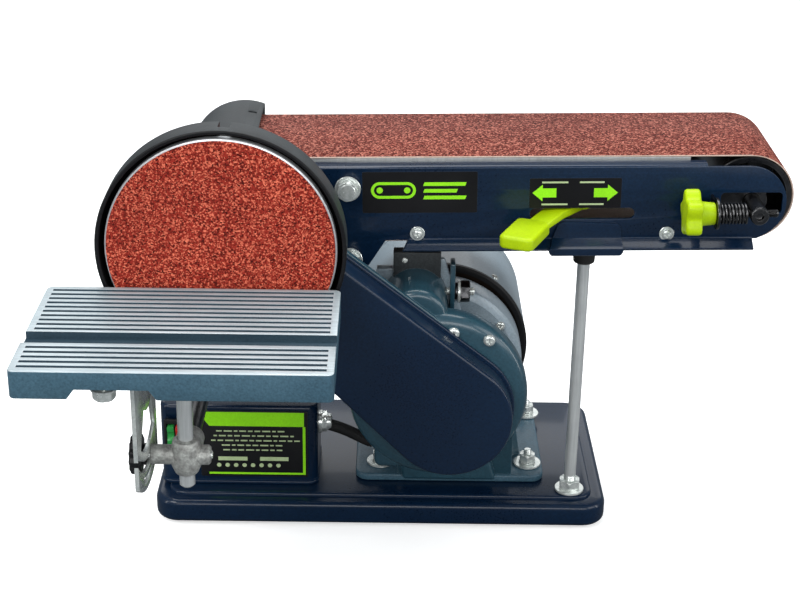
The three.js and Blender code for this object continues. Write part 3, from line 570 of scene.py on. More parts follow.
for row, (start, end) in enumerate(((12, 64), (10, 70), (8, 73), (16, 62), (17, 60))):
    level = PLATE["z1"] - 17.4 - row * 4.0
    x = PLATE["x0"] + start
    step = 0
    while x < PLATE["x0"] + end:
        width = (4.2, 6.1, 2.6, 5.0, 3.4)[(step + row * 2) % 5]
        marks.append(printed("line", bar_outline(x, x + width, level, level + 1.1), PALE_INK))
        x += width + 1.5
        step += 1
for start, end in ((13, 35), (44.5, 66)):
    field = bar_outline(PLATE["x0"] + start, PLATE["x0"] + end, PLATE["z0"] + 13.6, PLATE["z0"] + 16.8)
    marks.append(printed("blank_field", field, PALE_INK))
for i in range(8):
    centre_x = PLATE["x0"] + 13.5 + i * 6.4
    marks.append(printed("spot", arc(centre_x, PLATE["z0"] + 9.6, 1.7, 0, 330, 11), PALE_INK))
plate = assembled("rating_plate_printed", *marks)
placed(plate, "base", "black_plastic", "rating_plate")

gland_low, gland_high = ((corner - DRIVE) * 1000 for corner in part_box("cord_gland"))
gland_x, gland_z = (gland_low.x + gland_high.x) / 2, (gland_low.z + gland_high.z) / 2
gland_nut = slab("gland_nut", arc(gland_x, gland_z, 9, 0, 300, 5), "Y", gland_low.y, gland_low.y + 4)
profile = [(4, gland_low.y + 3.8), (6.6, gland_low.y + 3.8), (6.5, gland_low.y + 6)]
for i in range(6):
    ring_y = gland_low.y + 7 + i * 2.1
    ring_r = 6.4 - i * 0.3
    profile += [
        (ring_r - 0.7, ring_y), (ring_r - 0.7, ring_y + 0.8), (ring_r, ring_y + 0.9), (ring_r, ring_y + 2)
    ]
profile += [(4.3, gland_high.y), (3.6, gland_high.y)]
boot = turned("gland_boot", profile, "Y", (gland_x, gland_z), 40)
gland = assembled("cord_gland_boot", coated(eased(gland_nut, 0.5), PLASTIC), smooth(boot, RUBBER))
placed(gland, "base", "black_plastic", "cord_gland")


# ---- motor casting ------------------------------------------------------------------------------
# One aluminium casting carries everything: the pulley case in front, the neck that holds the two
# spindle bearings, the domed pillar between, and the pedestal that cradles the motor.
TEAL = finish(
    "blue-grey enamel", (0.014, 0.05, 0.074), (0.021, 0.066, 0.094), (0.12, 0.21, 0.26), roughness=0.32,
    bump=0.05, coat=0.4, grain_scale=620, grain_share=0.5, cloud_scale=14, specular=0.4
)
CHARCOAL = finish(
    "charcoal enamel", (0.016, 0.019, 0.021), (0.034, 0.04, 0.043), (0.1, 0.11, 0.12), roughness=0.5,
    bump=0.12, grain_scale=700, grain_share=0.9, cloud_scale=26, specular=0.3
)
GREY = finish(
    "motor grey enamel", (0.27, 0.345, 0.4), (0.34, 0.41, 0.46), (0.6, 0.66, 0.7), roughness=0.36, bump=0.05,
    coat=0.2, grain_scale=700, grain_share=0.4, cloud_scale=12
)
ZINC = finish(
    "bright zinc", (0.74, 0.77, 0.74), (0.58, 0.62, 0.6), (0.94, 0.95, 0.92), roughness=0.24, bump=0.03,
    metallic=0.6, grain_scale=500, grain_share=0.4, cloud_scale=160
)
TABLE_PAINT = finish(
    "blue-grey table enamel", (0.042, 0.098, 0.14), (0.056, 0.122, 0.168), (0.16, 0.26, 0.32), roughness=0.44,
    bump=0.14, coat=0.1, grain_scale=720, grain_share=0.6, cloud_scale=18, specular=0.35
)


def teardrop(first, second, count=40):
    """The outline of a band stretched round two circles, each (a, b, radius)."""
    a0, b0, r0 = first
    a1, b1, r1 = second
    along = math.degrees(math.atan2(b1 - b0, a1 - a0))
    spread = math.degrees(math.acos((r0 - r1) / math.hypot(a1 - a0, b1 - b0)))
    return [
        *arc(a0, b0, r0, along + spread, along - spread + 360, count),
        *arc(a1, b1, r1, along - spread, along + spread, count)
    ]


def hexagon(a, b, across_corners, turn=0):
    return arc(a, b, across_corners, turn, turn + 300, 5)


def washer(axis, centre, outer, inner, start, end):
    profile = [(inner, start), (outer - 0.3, start), (outer, start + 0.3), (outer, end - 0.3)]
    profile += [(outer - 0.3, end), (inner, end)]
    return turned("washer", profile, axis, centre, 48)


def nut(axis, centre, corner, start, end, turn=15):
    """A hexagon whose corners are rounded off at both faces, as a turned blank leaves them."""
    made = slab("nut", hexagon(*centre, corner, turn), axis, start, end)
    height = end - start
    cone = [(0, start), (corner * 0.9, start), (corner * 1.03, start + height * 0.2)]
    cone += [(corner * 1.03, end - height * 0.2), (corner * 0.9, end), (0, end)]
    blank = turned("blank", cone, axis, centre, 48)
    return eased(carved(made, "INTERSECT", blank), 0.15, 1)


def threaded(axis, centre, radius, start, end, pitch=1.0):
    """A stud whose thread is a stack of sharp rings."""
    way = 1 if end > start else -1
    profile = [(0, start), (radius - 0.5, start)]
    for i in range(int(abs(end - start) / pitch)):
        level = start + way * i * pitch
        profile += [(radius - 0.45, level + way * 0.1), (radius, level + way * pitch * 0.5)]
    profile += [(radius - 0.6, end - way * 0.05), (radius - 0.9, end), (0, end)]
    return eased(turned("stud", profile, axis, centre, 24), 0)


def pan_screw(name, axis, centre, radius, seat, top):
    """A pan-head screw with a cross recess; seat to top is its head, pointing out of the surface."""
    way = 1 if top > seat else -1
    height = abs(top - seat)
    profile = [(0, seat), (radius, seat), (radius, seat + way * height * 0.35)]
    for share in (0.3, 0.6, 0.85, 1.0):
        profile.append(
            (radius * math.cos(share * 1.05), seat + way * height * (0.35 + 0.65 * math.sin(share * 1.57)))
        )
    profile.append((0, top))
    head = turned(name, profile, axis, centre, 40)
    a, b = centre
    low, high = sorted((top - way * height * 0.5, top + way * 1))
    arm, half = radius * 0.55, radius * 0.13
    cross = [
        (a - half, b - arm), (a + half, b - arm), (a + half, b - half), (a + arm, b - half),
        (a + arm, b + half), (a + half, b + half), (a + half, b + arm), (a - half, b + arm),
        (a - half, b + half), (a - arm, b + half), (a - arm, b - half), (a - half, b - half)
    ]
    without(head, slab("cross", cross, axis, low, high))
    return coated(eased(head, 0.08, 1), ZINC)


CASE_END = (145, -130, 63.5)
MOTOR_X, MOTOR_Z, MOTOR_R = 148, -132, 66
CASE_FACE, CASE_BACK = 50.3, 66
FOOT = {"x0": 85.5, "x1": 229.3, "y0": 108.8, "y1": 230, "top": -226}

cx, cz, cr = CASE_END
dish = turned(
    "pulley_case",
    [
        (0, CASE_FACE), (cr - 9, CASE_FACE), (cr - 6, CASE_FACE + 0.5), (cr - 3, CASE_FACE + 1.9),
        (cr - 1, CASE_FACE + 4), (cr, CASE_FACE + 7), (cr, CASE_BACK - 1), (cr - 0.6, CASE_BACK),
        (cr - 4, CASE_BACK), (cr - 4, CASE_FACE + 6), (0, CASE_FACE + 6)
    ],
    "Y", (cx, cz), 128
)
shave = slab("shave", [(60, -116), (112, -163), (163, -208), (60, -208)], "Y", 60, 120)
without(dish, shave)
web = slab("web", teardrop((0, 0, 34), (153, -136, 46)), "Y", CASE_FACE + 0.5, CASE_FACE + 5.4)
eased(web, 1.0, 3, 50)
neck_plate = rod("neck_plate", 46, "Y", (0, 0), CASE_FACE + 0.9, CASE_FACE + 5.7, 1.2, 96)
neck = turned("bearing_neck", [(21, 51), (31, 51), (31, 88.5), (30, 90), (21, 90)], "Y", (0, 0))
pillar = slab(
    "pillar", [*arc(128.5, -72, 22, 0, 180, 32), (100, -150), (100, -190), (165, -190), (157, -102)], "Y",
    CASE_FACE + 4, 108
)
eased(pillar, 5.5, 6, 50)
pedestal = slab(
    "pedestal",
    [(111, FOOT["top"] - 1), (213, FOOT["top"] - 1), (207, -190), (205, -165), (96, -165), (101, -190)], "Y",
    FOOT["y0"] + 2.5, FOOT["y1"] - 6
)
BOLTS = {
    "front_left": (104.3, 128.1), "front_right": (217.7, 128.2), "back_left": (104.3, 211),
    "back_right": (222.5, 211)
}
for bolt_x, bolt_y in BOLTS.values():
    scoop = turned(
        "scoop", [(0, FOOT["top"] + 0.05), (16.5, FOOT["top"] + 0.05), (18.5, -212), (24, -160), (0, -160)],
        "Z", (bolt_x, bolt_y), 48
    )
    without(pedestal, scoop)
bore = rod("bore", MOTOR_R + 0.3, "Y", (MOTOR_X, MOTOR_Z), 100, 260, steps=96)
without(pedestal, bore)
eased(pedestal, 1.6, 3, 40)
skirt = slab(
    "skirt", [(118, -188), (121, -224), (192, -224), (182, -194), (165, -186)], "Y", 97, FOOT["y0"] + 6
)
eased(skirt, 3, 4, 40)
for centre in BOLTS.values():
    pocket = rod("pocket", 13.5, "Z", centre, FOOT["top"] - 8, -176, 6, 48)
    if centre[1] < 150:
        side = 1 if centre[0] < 150 else -1
        notch = brick(
            "notch", *sorted((centre[0] - side * 20, centre[0] + side * 13.5)), 80, centre[1],
            FOOT["top"] - 8, -190
        )
        without(pedestal, notch)
    for casting_part in (pedestal, skirt):
        tool = pocket.copy()
        tool.data = pocket.data.copy()
        bpy.context.collection.objects.link(tool)
        without(casting_part, tool)
    bpy.data.objects.remove(pocket, do_unlink=True)
bed = slab(
    "bed", soft_rectangle(FOOT["x0"], FOOT["x1"], FOOT["y0"], FOOT["y1"], 10, 8), "Z", PAN["top"] + 0.3,
    FOOT["top"]
)
eased(bed, 1.5, 4, 60)
POST_X, STUD_Z = -18.2, -112
table_arm = slab(
    "table_arm", soft_rectangle(POST_X - 14, 95, STUD_Z - 13, STUD_Z + 13, 8), "Y", CASE_FACE + 1.7,
    CASE_FACE + 13.7
)
eased(table_arm, 1.5, 3, 60)
table_boss = turned(
    "table_boss", [(6.4, 30), (10.4, 30), (11.4, 31), (12.4, 60), (6.4, 60)], "Y", (POST_X, STUD_Z), 48
)
guard_posts = [
    rod("guard_post", 5, "Y", (39 * math.cos(a), 39 * math.sin(a)), 22.4, CASE_FACE + 2, 0.6, 24)
    for a in (1.75, 3.0, 4.3)
]
lock_rib = slab("lock_rib", [(153, -100), (156.5, -100), (156.5, -47), (153, -47)], "Y", 96, 110)
eased(lock_rib, 0.8, 2)
parts = [
    dish, web, neck_plate, neck, pillar, pedestal, skirt, bed, table_arm, table_boss, *guard_posts, lock_rib
]
# The bed takes the lighter table enamel, not the casting's own: painted light for the light that the foot
# plate reflects.
for part in parts:
    eased(part, 0)
    coated(part, TABLE_PAINT if part == bed else TEAL)
saddle = slab("saddle", [(100, -54), (118, -54), (118, -100), (100, -118)], "Y", 104, 112)
saddle_right = slab("saddle_right", [(137, -46), (149, -46), (162, -86), (150, -92)], "Y", 104, 109)
saddle_top = slab("saddle_top", [(112, -38), (146, -38), (146, -58), (112, -58)], "Y", 96, 107)
for part in (saddle, saddle_right):
    parts.append(coated(eased(part, 1.0), GREY))
parts.append(coated(eased(saddle_top, 1.2), CHARCOAL))
parts.append(pan_screw("saddle_screw", "Y", (120.1, -44), 2.1, 96, 94.8))
for screw_x, screw_z in ((154.4, -79.4), (179.5, -84.5)):
    parts.append(pan_screw("case_screw", "Y", (screw_x, screw_z), 4.2, CASE_FACE + 0.1, CASE_FACE - 2.6))
placed(assembled("motor_casting_enamelled", *parts), "base", "casting_paint", "motor_casting")

for place_name, centre in BOLTS.items():
    seat = FOOT["top"] + 0.3
    bolt = assembled(
        f"casting_bolt_{place_name}_plated", coated(washer("Z", centre, 10.6, 3.2, seat, seat + 1.6), ZINC),
        coated(washer("Z", centre, 6.4, 3.2, seat + 1.6, seat + 3.2), ZINC),
        coated(nut("Z", centre, 6.6, seat + 3.2, seat + 8.6, 10 + centre[0] % 40), ZINC),
        coated(threaded("Z", centre, 3, seat - 8, seat + 12.5), ZINC)
    )
    placed(eased(bolt, 0), "base", "zinc", f"casting_bolt_{place_name}")


# ---- motor lead ---------------------------------------------------------------------------------
# A short stiff rubber lead runs from the switch box into the casting, through a metal gland.
lead_points = [(44, 126, -190), (65, 126, -190), (81, 124, -196), (91, 121, -203), (98, 120.5, -204)]
bpy.ops.curve.primitive_nurbs_path_add()
lead = bpy.context.object
lead.name = "motor_lead_rubber"
spline = lead.data.splines[0]
spline.use_endpoint_u = True
for point, place_mm in zip(spline.points, lead_points):
    point.co = (*at(*place_mm), 1)
lead.data.bevel_depth = 4.5 / 1000
lead.data.bevel_resolution = 8
lead.data.resolution_u = 12
lead.data.use_fill_caps = True
bpy.ops.object.convert(target="MESH")
lead_gland = turned(
    "lead_gland", [(4.7, 57.2), (9, 57.2), (9, 59.6), (6.6, 60), (6.6, 64), (6.0, 66.5), (4.7, 67)], "X",
    (126, -190), 48
)
lead_nut = nut("X", (126, -190), 8.2, 59.4, 63.4)
lead = assembled("motor_lead_rubber", smooth(lead, RUBBER), smooth(lead_gland, ZINC), coated(lead_nut, ZINC))
placed(lead, "base", "rubber", "motor_lead")


# ---- belt cover ---------------------------------------------------------------------------------
# A deep teardrop pressing closes the pulley case. Its rim is rolled outwards where it meets the case.
COVER_NECK, COVER_END = (0, 0, 30.5), (153, -136, 43.5)
COVER_FACE, COVER_BACK = 26, 49.8


def grown(circle, by):
    return (circle[0], circle[1], circle[2] + by)


shell = slab("belt_cover_enamelled", teardrop(COVER_NECK, COVER_END, 56), "Y", COVER_FACE, COVER_BACK)
eased(shell, 2.6, 5, 50)
inside = slab(
    "inside", teardrop(grown(COVER_NECK, -2), grown(COVER_END, -2), 56), "Y", COVER_FACE + 2, COVER_BACK + 5
)
without(shell, inside)
lip = slab(
    "rolled_lip", teardrop(grown(COVER_NECK, 2.4), grown(COVER_END, 2.4), 56), "Y", COVER_BACK - 3.4,
    COVER_BACK
)
hole = slab(
    "hole", teardrop(grown(COVER_NECK, -1), grown(COVER_END, -1), 56), "Y", COVER_BACK - 9, COVER_BACK + 5
)
without(lip, hole)
eased(lip, 1.3, 4, 50)
cover = assembled("belt_cover_enamelled", smooth(shell, NAVY), coated(lip, NAVY))
placed(cover, "base", "navy_paint", "belt_cover")


# ---- motor --------------------------------------------------------------------------------------
# A 1/2 hp induction motor: a die-cast front shield, a rolled steel shell with a black ring at its front edge,
# painted shade for the gap behind the shield, and a pressed fan cover with round vents at the back. The
# windings and the rotor are inside.
BLACK = finish(
    "black enamel", (0.004, 0.004, 0.005), (0.007, 0.007, 0.008), (0.03, 0.031, 0.035), roughness=0.4,
    bump=0.03, grain_scale=800, cloud_scale=22, specular=0.22
)

shield = turned(
    "front_shield",
    [
        (7.5, 112), (22, 112), (24, 113.5), (50, 113.5), (54, 112.2), (57.5, 113), (59.7, 115), (60.6, 118),
        (60.6, 134), (58, 134.4), (58, 141.7), (50, 141.7), (50, 122), (18, 122), (18, 130), (7.5, 130)
    ],
    "Y", (MOTOR_X, MOTOR_Z), 128
)
shield_parts = [smooth(shield, GREY)]
for angle in (35, 145, 215, 325):
    a, b = MOTOR_X + 53 * math.cos(math.radians(angle)), MOTOR_Z + 53 * math.sin(math.radians(angle))
    shield_parts.append(pan_screw("shield_screw", "Y", (a, b), 3.4, 112.4, 110.2))
placed(assembled("motor_front_shield_cast", *shield_parts), "base", "motor_paint", "motor_front_shield")

shell = turned(
    "shell", [(63, 146), (65.2, 146), (66, 146.8), (66, 221.5), (65.4, 222), (63, 222)], "Y",
    (MOTOR_X, MOTOR_Z), 128
)
# The black ring at the front of the shell is painted shade: it stands for the dark gap between the shield and
# the shell.
gap_shade_band = turned(
    "gap_shade_ring", [(61.4, 142), (64.6, 142), (66.2, 143), (66.2, 145.6), (65.6, 146.2), (61.4, 146.2)], "Y",
    (MOTOR_X, MOTOR_Z), 128
)
shell_parts = [smooth(shell, GREY), smooth(gap_shade_band, BLACK)]
for i in range(4):
    angle = math.radians(52 + i * 90)
    screw = pan_screw("shell_screw", "Z", (MOTOR_X, 152), 3.1, MOTOR_Z + 65.8, MOTOR_Z + 67.6)
    centre = at(MOTOR_X, 152, MOTOR_Z)
    swing = Matrix.Translation(centre) @ Matrix.Rotation(
        math.pi / 2 - angle, 4, "Y"
    ) @ Matrix.Translation(-centre)
    screw.data.transform(swing)
    shell_parts.append(screw)
placed(assembled("motor_shell_enamelled", *shell_parts), "base", "motor_paint", "motor_shell")

fan_cover = turned(
    "motor_fan_cover_pressed",
    [
        (0, 241.6), (54, 241.6), (60.5, 240), (63.6, 235), (64, 222.6), (66, 222.6), (66, 235.4),
        (64.4, 239.6), (61, 242.6), (56, 244), (30, 244), (26, 242.8), (0, 242.8)
    ],
    "Y", (MOTOR_X, MOTOR_Z), 128
)
for count, radius in ((12, 36), (18, 48)):
    for i in range(count):
        angle = math.tau * i / count
        vent = (MOTOR_X + radius * math.cos(angle), MOTOR_Z + radius * math.sin(angle))
        without(fan_cover, rod("vent", 3.4, "Y", vent, 238, 250, steps=20))
placed(coated(eased(fan_cover, 0.25, 1), GREY), "base", "motor_paint", "motor_fan_cover")


# ---- sanding disc and its guard -----------------------------------------------------------------
# A 150 mm grit disc is glued to a turned aluminium plate, which spins inside a dished cast guard. The
# guard's rim is split at the top.
ALUMINIUM = finish(
    "turned aluminium", (0.72, 0.74, 0.76), (0.62, 0.64, 0.66), (0.92, 0.92, 0.92), roughness=0.36, bump=0.02,
    metallic=0.55, grain_scale=800, cloud_scale=40
)

# Coated abrasive: each cell is one grain of grit, with its own tone, standing proud of the glue.
grit, grit_in, grit_out = new_group(
    "grit",
    [
        ("Colour", COLOUR, (0.4, 0.05, 0.03, 1)), ("Light Grain", COLOUR, (0.7, 0.2, 0.12, 1)),
        ("Dark Grain", COLOUR, (0.16, 0.01, 0.01, 1)), ("Grains Per Metre", FLOAT, 1200)
    ],
    [("Colour", COLOUR), ("Roughness", FLOAT), ("Height", FLOAT)]
)
grit_place = node(grit, "ShaderNodeTexCoord").outputs["Object"]
cells = node(
    grit, "ShaderNodeTexVoronoi", {"Vector": grit_place, "Scale": grit_in.outputs["Grains Per Metre"]}
)
tone = node(grit, "ShaderNodeSeparateColor", {0: cells.outputs["Color"]}).outputs[0]
wide = node(grit, "ShaderNodeTexNoise", {"Vector": grit_place, "Scale": 22.0, "Detail": 3.0}).outputs["Fac"]
dark_side = mixed(
    grit, remap(grit, tone, 0.45, 0.0), grit_in.outputs["Colour"], grit_in.outputs["Dark Grain"]
)
light_side = mixed(grit, remap(grit, tone, 0.62, 1.0), dark_side, grit_in.outputs["Light Grain"])
worn_patch = mixed(grit, remap(grit, wide, 0.35, 0.75, 0.0, 0.16), light_side, grit_in.outputs["Dark Grain"])
grit.links.new(worn_patch, grit_out.inputs["Colour"])
grit.links.new(remap(grit, tone, 0, 1, 0.95, 0.62), grit_out.inputs["Roughness"])
grit.links.new(sums(grit, "MULTIPLY", tone, cells.outputs["Distance"]), grit_out.inputs["Height"])


def abrasive(name, colour, light, dark, grains):
    material = bpy.data.materials.new(name)
    material.use_nodes = True
    tree = material.node_tree
    shader = tree.nodes["Principled BSDF"]
    surface = node(tree, "ShaderNodeGroup", node_tree=grit)
    surface.inputs["Colour"].default_value = (*colour, 1)
    surface.inputs["Light Grain"].default_value = (*light, 1)
    surface.inputs["Dark Grain"].default_value = (*dark, 1)
    surface.inputs["Grains Per Metre"].default_value = grains
    relief = node(tree, "ShaderNodeBump", {"Height": surface.outputs["Height"], "Distance": 0.0004})
    relief.inputs["Strength"].default_value = 0.6
    shader.inputs["Specular IOR Level"].default_value = 0.25
    tree.links.new(surface.outputs["Colour"], shader.inputs["Base Color"])
    tree.links.new(surface.outputs["Roughness"], shader.inputs["Roughness"])
    tree.links.new(relief.outputs["Normal"], shader.inputs["Normal"])
    return material


def coloured_by(piece, material, wanted):
    """Gives the faces for which wanted(centre, normal) is true a second material."""
    piece.data.materials.append(material)
    number = len(piece.data.materials) - 1
    for face in piece.data.polygons:
        if wanted((face.center - DRIVE) * 1000, face.normal):
            face.material_index = number
    return piece


paper = turned(
    "disc_paper_grit", [(0, 0.02), (73.9, 0.02), (74.2, 0.25), (74.2, 1.2), (0, 1.2)], "Y", (0, 0), 160
)
DISC_GRIT = abrasive("disc grit", (0.3, 0.02, 0.01), (0.86, 0.2, 0.11), (0.04, 0.002, 0.001), 1150)
placed(smooth(paper, DISC_GRIT), "spindle", "abrasive", "disc_paper")

disc_plate = turned(
    "disc_plate_turned",
    [
        (0, 1.4), (74.2, 1.4), (75.2, 1.9), (75.5, 2.6), (75.5, 7.2), (74.4, 8), (14, 8), (14, 18.5),
        (7.8, 18.5), (7.8, 3.2), (0, 3.2)
    ],
    "Y", (0, 0), 160
)
placed(smooth(disc_plate, ALUMINIUM), "spindle", "aluminium", "disc_plate")

guard = turned(
    "disc_guard_cast",
    [
        (18, 19.8), (70, 19.8), (77, 18), (78.8, 14), (78.8, -0.4), (79.3, -1), (80.9, -1), (81.5, -0.4),
        (81.5, 19), (80.6, 21.2), (78.4, 22), (18, 22)
    ],
    "Y", (0, 0), 160
)
split = brick("split", -0.4, 7.2, 8, 24, 72, 84)
without(guard, split)
guard = coated(eased(guard, 0.3, 2), CHARCOAL)
# The faces inside the cup are black as painted shade in the gap round the disc; the front face of the rim is
# black too.
coloured_by(guard, BLACK, lambda p, n: p.y < 19.9 and math.hypot(p.x, p.z) < 81 or p.y < 0.4)
placed(guard, "base", "dark_paint", "disc_guard")


# ---- drive shaft and drums ----------------------------------------------------------------------
# The ground shaft carries the disc plate at one end and the drive drum at the other. The idler drum is the
# same turning, at the far end of the arm, on its own axle.
STEEL = finish(
    "ground steel", (0.7, 0.72, 0.71), (0.58, 0.6, 0.6), (0.88, 0.88, 0.86), roughness=0.22, bump=0.02,
    metallic=0.5, grain_scale=600, grain_stretch=(1, 1, 0.05), grain_share=0.3, cloud_scale=30
)
DARK_STEEL = finish(
    "oiled steel", (0.075, 0.075, 0.078), (0.045, 0.045, 0.048), (0.36, 0.35, 0.33), roughness=0.3, bump=0.02,
    metallic=1.0, grain_scale=600, cloud_scale=90
)

shaft = rod("drive_shaft_ground", 7.5, "Y", (0, 0), 3.6, 197, 1.0, 48)
placed(smooth(shaft, STEEL), "spindle", "steel", "drive_shaft")


def drum(name, centre_x, bore):
    """A turned drum with open ends, crowned a little, on a hub in its middle."""
    y0, y1 = 96, 196
    hub = bore + 6
    return turned(
        name,
        [
            (bore, y0 + 2), (hub, y0 + 2), (hub, y0 + 44), (26, y0 + 44), (26, y0), (29.4, y0),
            (29.9, y0 + 0.6), (30, y0 + 25), (30, y1 - 25), (29.9, y1 - 0.6), (29.4, y1), (26, y1),
            (26, y0 + 56), (hub, y0 + 56), (hub, y1 - 2), (bore, y1 - 2)
        ],
        "Y", (centre_x, 0), 96
    )


DRUM_SPACING = 360.24
# Both drums take the dark steel finish, not bright turned metal: painted shade for the inside of the belt
# loop.
placed(smooth(drum("drive_drum_turned", 0, 7.8), DARK_STEEL), "spindle", "aluminium", "drive_drum")
placed(smooth(drum("idler_drum_turned", DRUM_SPACING, 6.3), DARK_STEEL), "idler", "aluminium", "idler_drum")


# ---- belt arm -----------------------------------------------------------------------------------
# A folded steel side plate in navy enamel, with two folds and a slot, is bolted to the bearing neck. It
# carries the labels, and the tab that the tracking screw goes through.
ARM_FACE, ARM_BACK = 83.6, 86.1
ARM_TOP, ARM_LOW, ARM_END_X = 28.3, -26, 357
outline = [
    *arc(0, 0, 50, 279, 144, 40), (-22, 39), (-14, ARM_TOP - 1.5),
    *arc(ARM_END_X, 0, ARM_TOP - 1.5, 90, -66.6, 40), (ARM_END_X + 8, ARM_LOW), (106, ARM_LOW), (84, -60),
    (40, -64)
]
side = slab("arm_side_plate_enamelled", outline, "Y", ARM_FACE, ARM_BACK)
slot_hole = slab("slot_hole", soft_rectangle(206, 279, -11, -2.8, 4.09, 8), "Y", 70, 100)
axle_slot = slab("axle_slot", soft_rectangle(338, 381, -8, 8, 3, 4), "Y", 70, 100)
neck_hole = rod("neck_hole", 32, "Y", (0, 0), 70, 100, steps=96)
without(side, slot_hole, axle_slot, neck_hole)
eased(side, 0.5, 2, 50)
fold = slab(
    "top_fold",
    [
        (ARM_FACE, 22.6), (ARM_FACE + 0.3, 25.4), (ARM_FACE + 1.6, 27.5), (ARM_FACE + 3.6, ARM_TOP),
        (94.6, ARM_TOP), (94.6, ARM_TOP - 2), (ARM_FACE + 4.4, ARM_TOP - 2), (ARM_FACE + 2.8, 25.6),
        (ARM_BACK - 0.2, 22.6)
    ],
    "X", 40, 328
)
eased(fold, 0.5, 2, 40)
flange = slab(
    "low_flange",
    [
        (ARM_FACE, ARM_LOW + 1.6), (ARM_FACE - 0.3, ARM_LOW + 0.4), (ARM_FACE - 8.6, ARM_LOW - 4.2),
        (ARM_FACE - 7.5, ARM_LOW - 6), (ARM_BACK - 0.6, ARM_LOW - 1.4), (ARM_BACK, ARM_LOW + 1)
    ],
    "X", 117, 362
)
for spot in flange.data.vertices:
    if spot.co.x < at(200, 0, 0).x:
        spot.co.x += 0.75 * (spot.co.z - at(0, 0, ARM_LOW - 6).z)
eased(flange, 0.6, 3, 30)
parts = [smooth(part, NAVY) for part in (side, fold, flange)]
for screw_x, screw_z in ((128, -21), (302, -22)):
    parts.append(coated(washer("Y", (screw_x, screw_z), 5.2, 1, ARM_FACE - 1.0, ARM_FACE), ZINC))
    parts.append(pan_screw("arm_screw", "Y", (screw_x, screw_z), 3.6, ARM_FACE - 1, ARM_FACE - 3.6))
tab = slab(
    "screw_tab", [*arc(64, 0, 11, 60, 300, 30), (71, -7), (ARM_BACK, -7), (ARM_BACK, 7), (71, 7)], "X", 331,
    332.9
)
bore = rod("bore", 3.6, "X", (64, 0), 325, 340, steps=24)
without(tab, bore)
parts.append(coated(eased(tab, 0.4), DARK_STEEL))

# Two labels are stuck on the arm: a plain one with a belt-and-disc sign, and one with two arrows that
# show which way the lever tightens and loosens the belt.
LABEL_FACE = ARM_FACE - 0.35
for x0, x1, z0, z1 in ((90, 169.5, -5.6, 24.4), (205.5, 269, -2.6, 19.2)):
    label = slab("label", soft_rectangle(x0, x1, z0, z1, 0.8), "Y", LABEL_FACE, ARM_FACE + 0.2)
    parts.append(coated(eased(label, 0.1, 1), BLACK))
ring_out = slab("sign", soft_rectangle(96, 127, 5, 17, 5.99, 16), "Y", LABEL_FACE - PRINT, LABEL_FACE + 0.1)
ring_in = slab("sign_hole", soft_rectangle(98, 125, 7, 15, 3.99, 16), "Y", LABEL_FACE - 1, LABEL_FACE + 1)
parts.append(coated(without(ring_out, ring_in), INK))
for spot_x in (102, 121):
    parts.append(printed("spot", arc(spot_x, 11, 2.2, 0, 345, 23), INK, LABEL_FACE))
for i, bar_end in enumerate((162, 156, 162)):
    low = 14.2 - i * 4.9
    parts.append(
        printed(
            "bar", [(132, low), (bar_end - 1, low), (bar_end, low + 2.6), (133, low + 2.6)], INK, LABEL_FACE
        )
    )
for tip, tail in ((207.5, 224), (266.5, 250)):
    way = 1 if tail > tip else -1
    head = tip + way * 7
    arrow = [(tip, 8.6), (head, 14.6), (head, 11.9), (tail, 11.9), (tail, 5.3), (head, 5.3), (head, 2.6)]
    parts.append(printed("arrow", arrow, INK, LABEL_FACE))
for x0, x1 in ((214, 232), (240, 257)):
    for level in (15.7, -0.4):
        parts.append(printed("rule", bar_outline(x0, x1, level, level + 1.2), PALE_INK, LABEL_FACE))
placed(assembled("arm_side_plate_enamelled", *parts), "arm", "navy_paint", "arm_side_plate")

for bolt_name, (bolt_x, bolt_z) in {"upper": (80, 12.5), "lower": (80.6, -40.4)}.items():
    seat = ARM_FACE - 0.3
    bolt = assembled(
        f"arm_bolt_{bolt_name}_plated", coated(washer("Y", (bolt_x, bolt_z), 9, 3, seat - 1.8, seat), ZINC),
        coated(nut("Y", (bolt_x, bolt_z), 7.6, seat - 7.6, seat - 1.8, 20), ZINC),
        coated(rod("crown", 5.6, "Y", (bolt_x, bolt_z), seat - 8, seat - 6, 0.6), ZINC),
        coated(threaded("Y", (bolt_x, bolt_z), 4, seat - 3, 94), ZINC)
    )
    placed(eased(bolt, 0), "arm", "zinc", f"arm_bolt_{bolt_name}")


# ---- sanding belt -------------------------------------------------------------------------------
# A closed 100 x 914 mm loop runs round the two drums. It is grit outside and cloth inside, 1 mm thick,
# and its cut edge shows the pale cloth.
CLOTH = finish(
    "belt backing cloth", (0.62, 0.48, 0.4), (0.52, 0.38, 0.3), (0.85, 0.76, 0.7), roughness=0.85, bump=0.12,
    grain_scale=1500, grain_share=0.5, cloud_scale=60, specular=0.2
)

BELT_R, BELT_THICK = 31.3, 1
belt_out, belt_in = (teardrop((0, 0, r), (DRUM_SPACING, 0, r), 64) for r in (BELT_R, BELT_R - BELT_THICK))
belt = slab("sanding_belt_coated", belt_out, "Y", 95.6, 195.6)
without(belt, slab("belt_inside", belt_in, "Y", 90, 200))
eased(belt, 0.2, 1, 50)
BELT_GRIT = abrasive("belt grit", (0.155, 0.024, 0.015), (0.56, 0.2, 0.14), (0.02, 0.003, 0.002), 950)


def outside_of_belt(p, n):
    end_x = min(max(p.x, 0), DRUM_SPACING)
    return math.hypot(p.x - end_x, p.z) > 31.05 and 95.7 < p.y < 195.5


placed(coloured_by(coated(belt, CLOTH), BELT_GRIT, outside_of_belt), "arm", "abrasive", "sanding_belt")


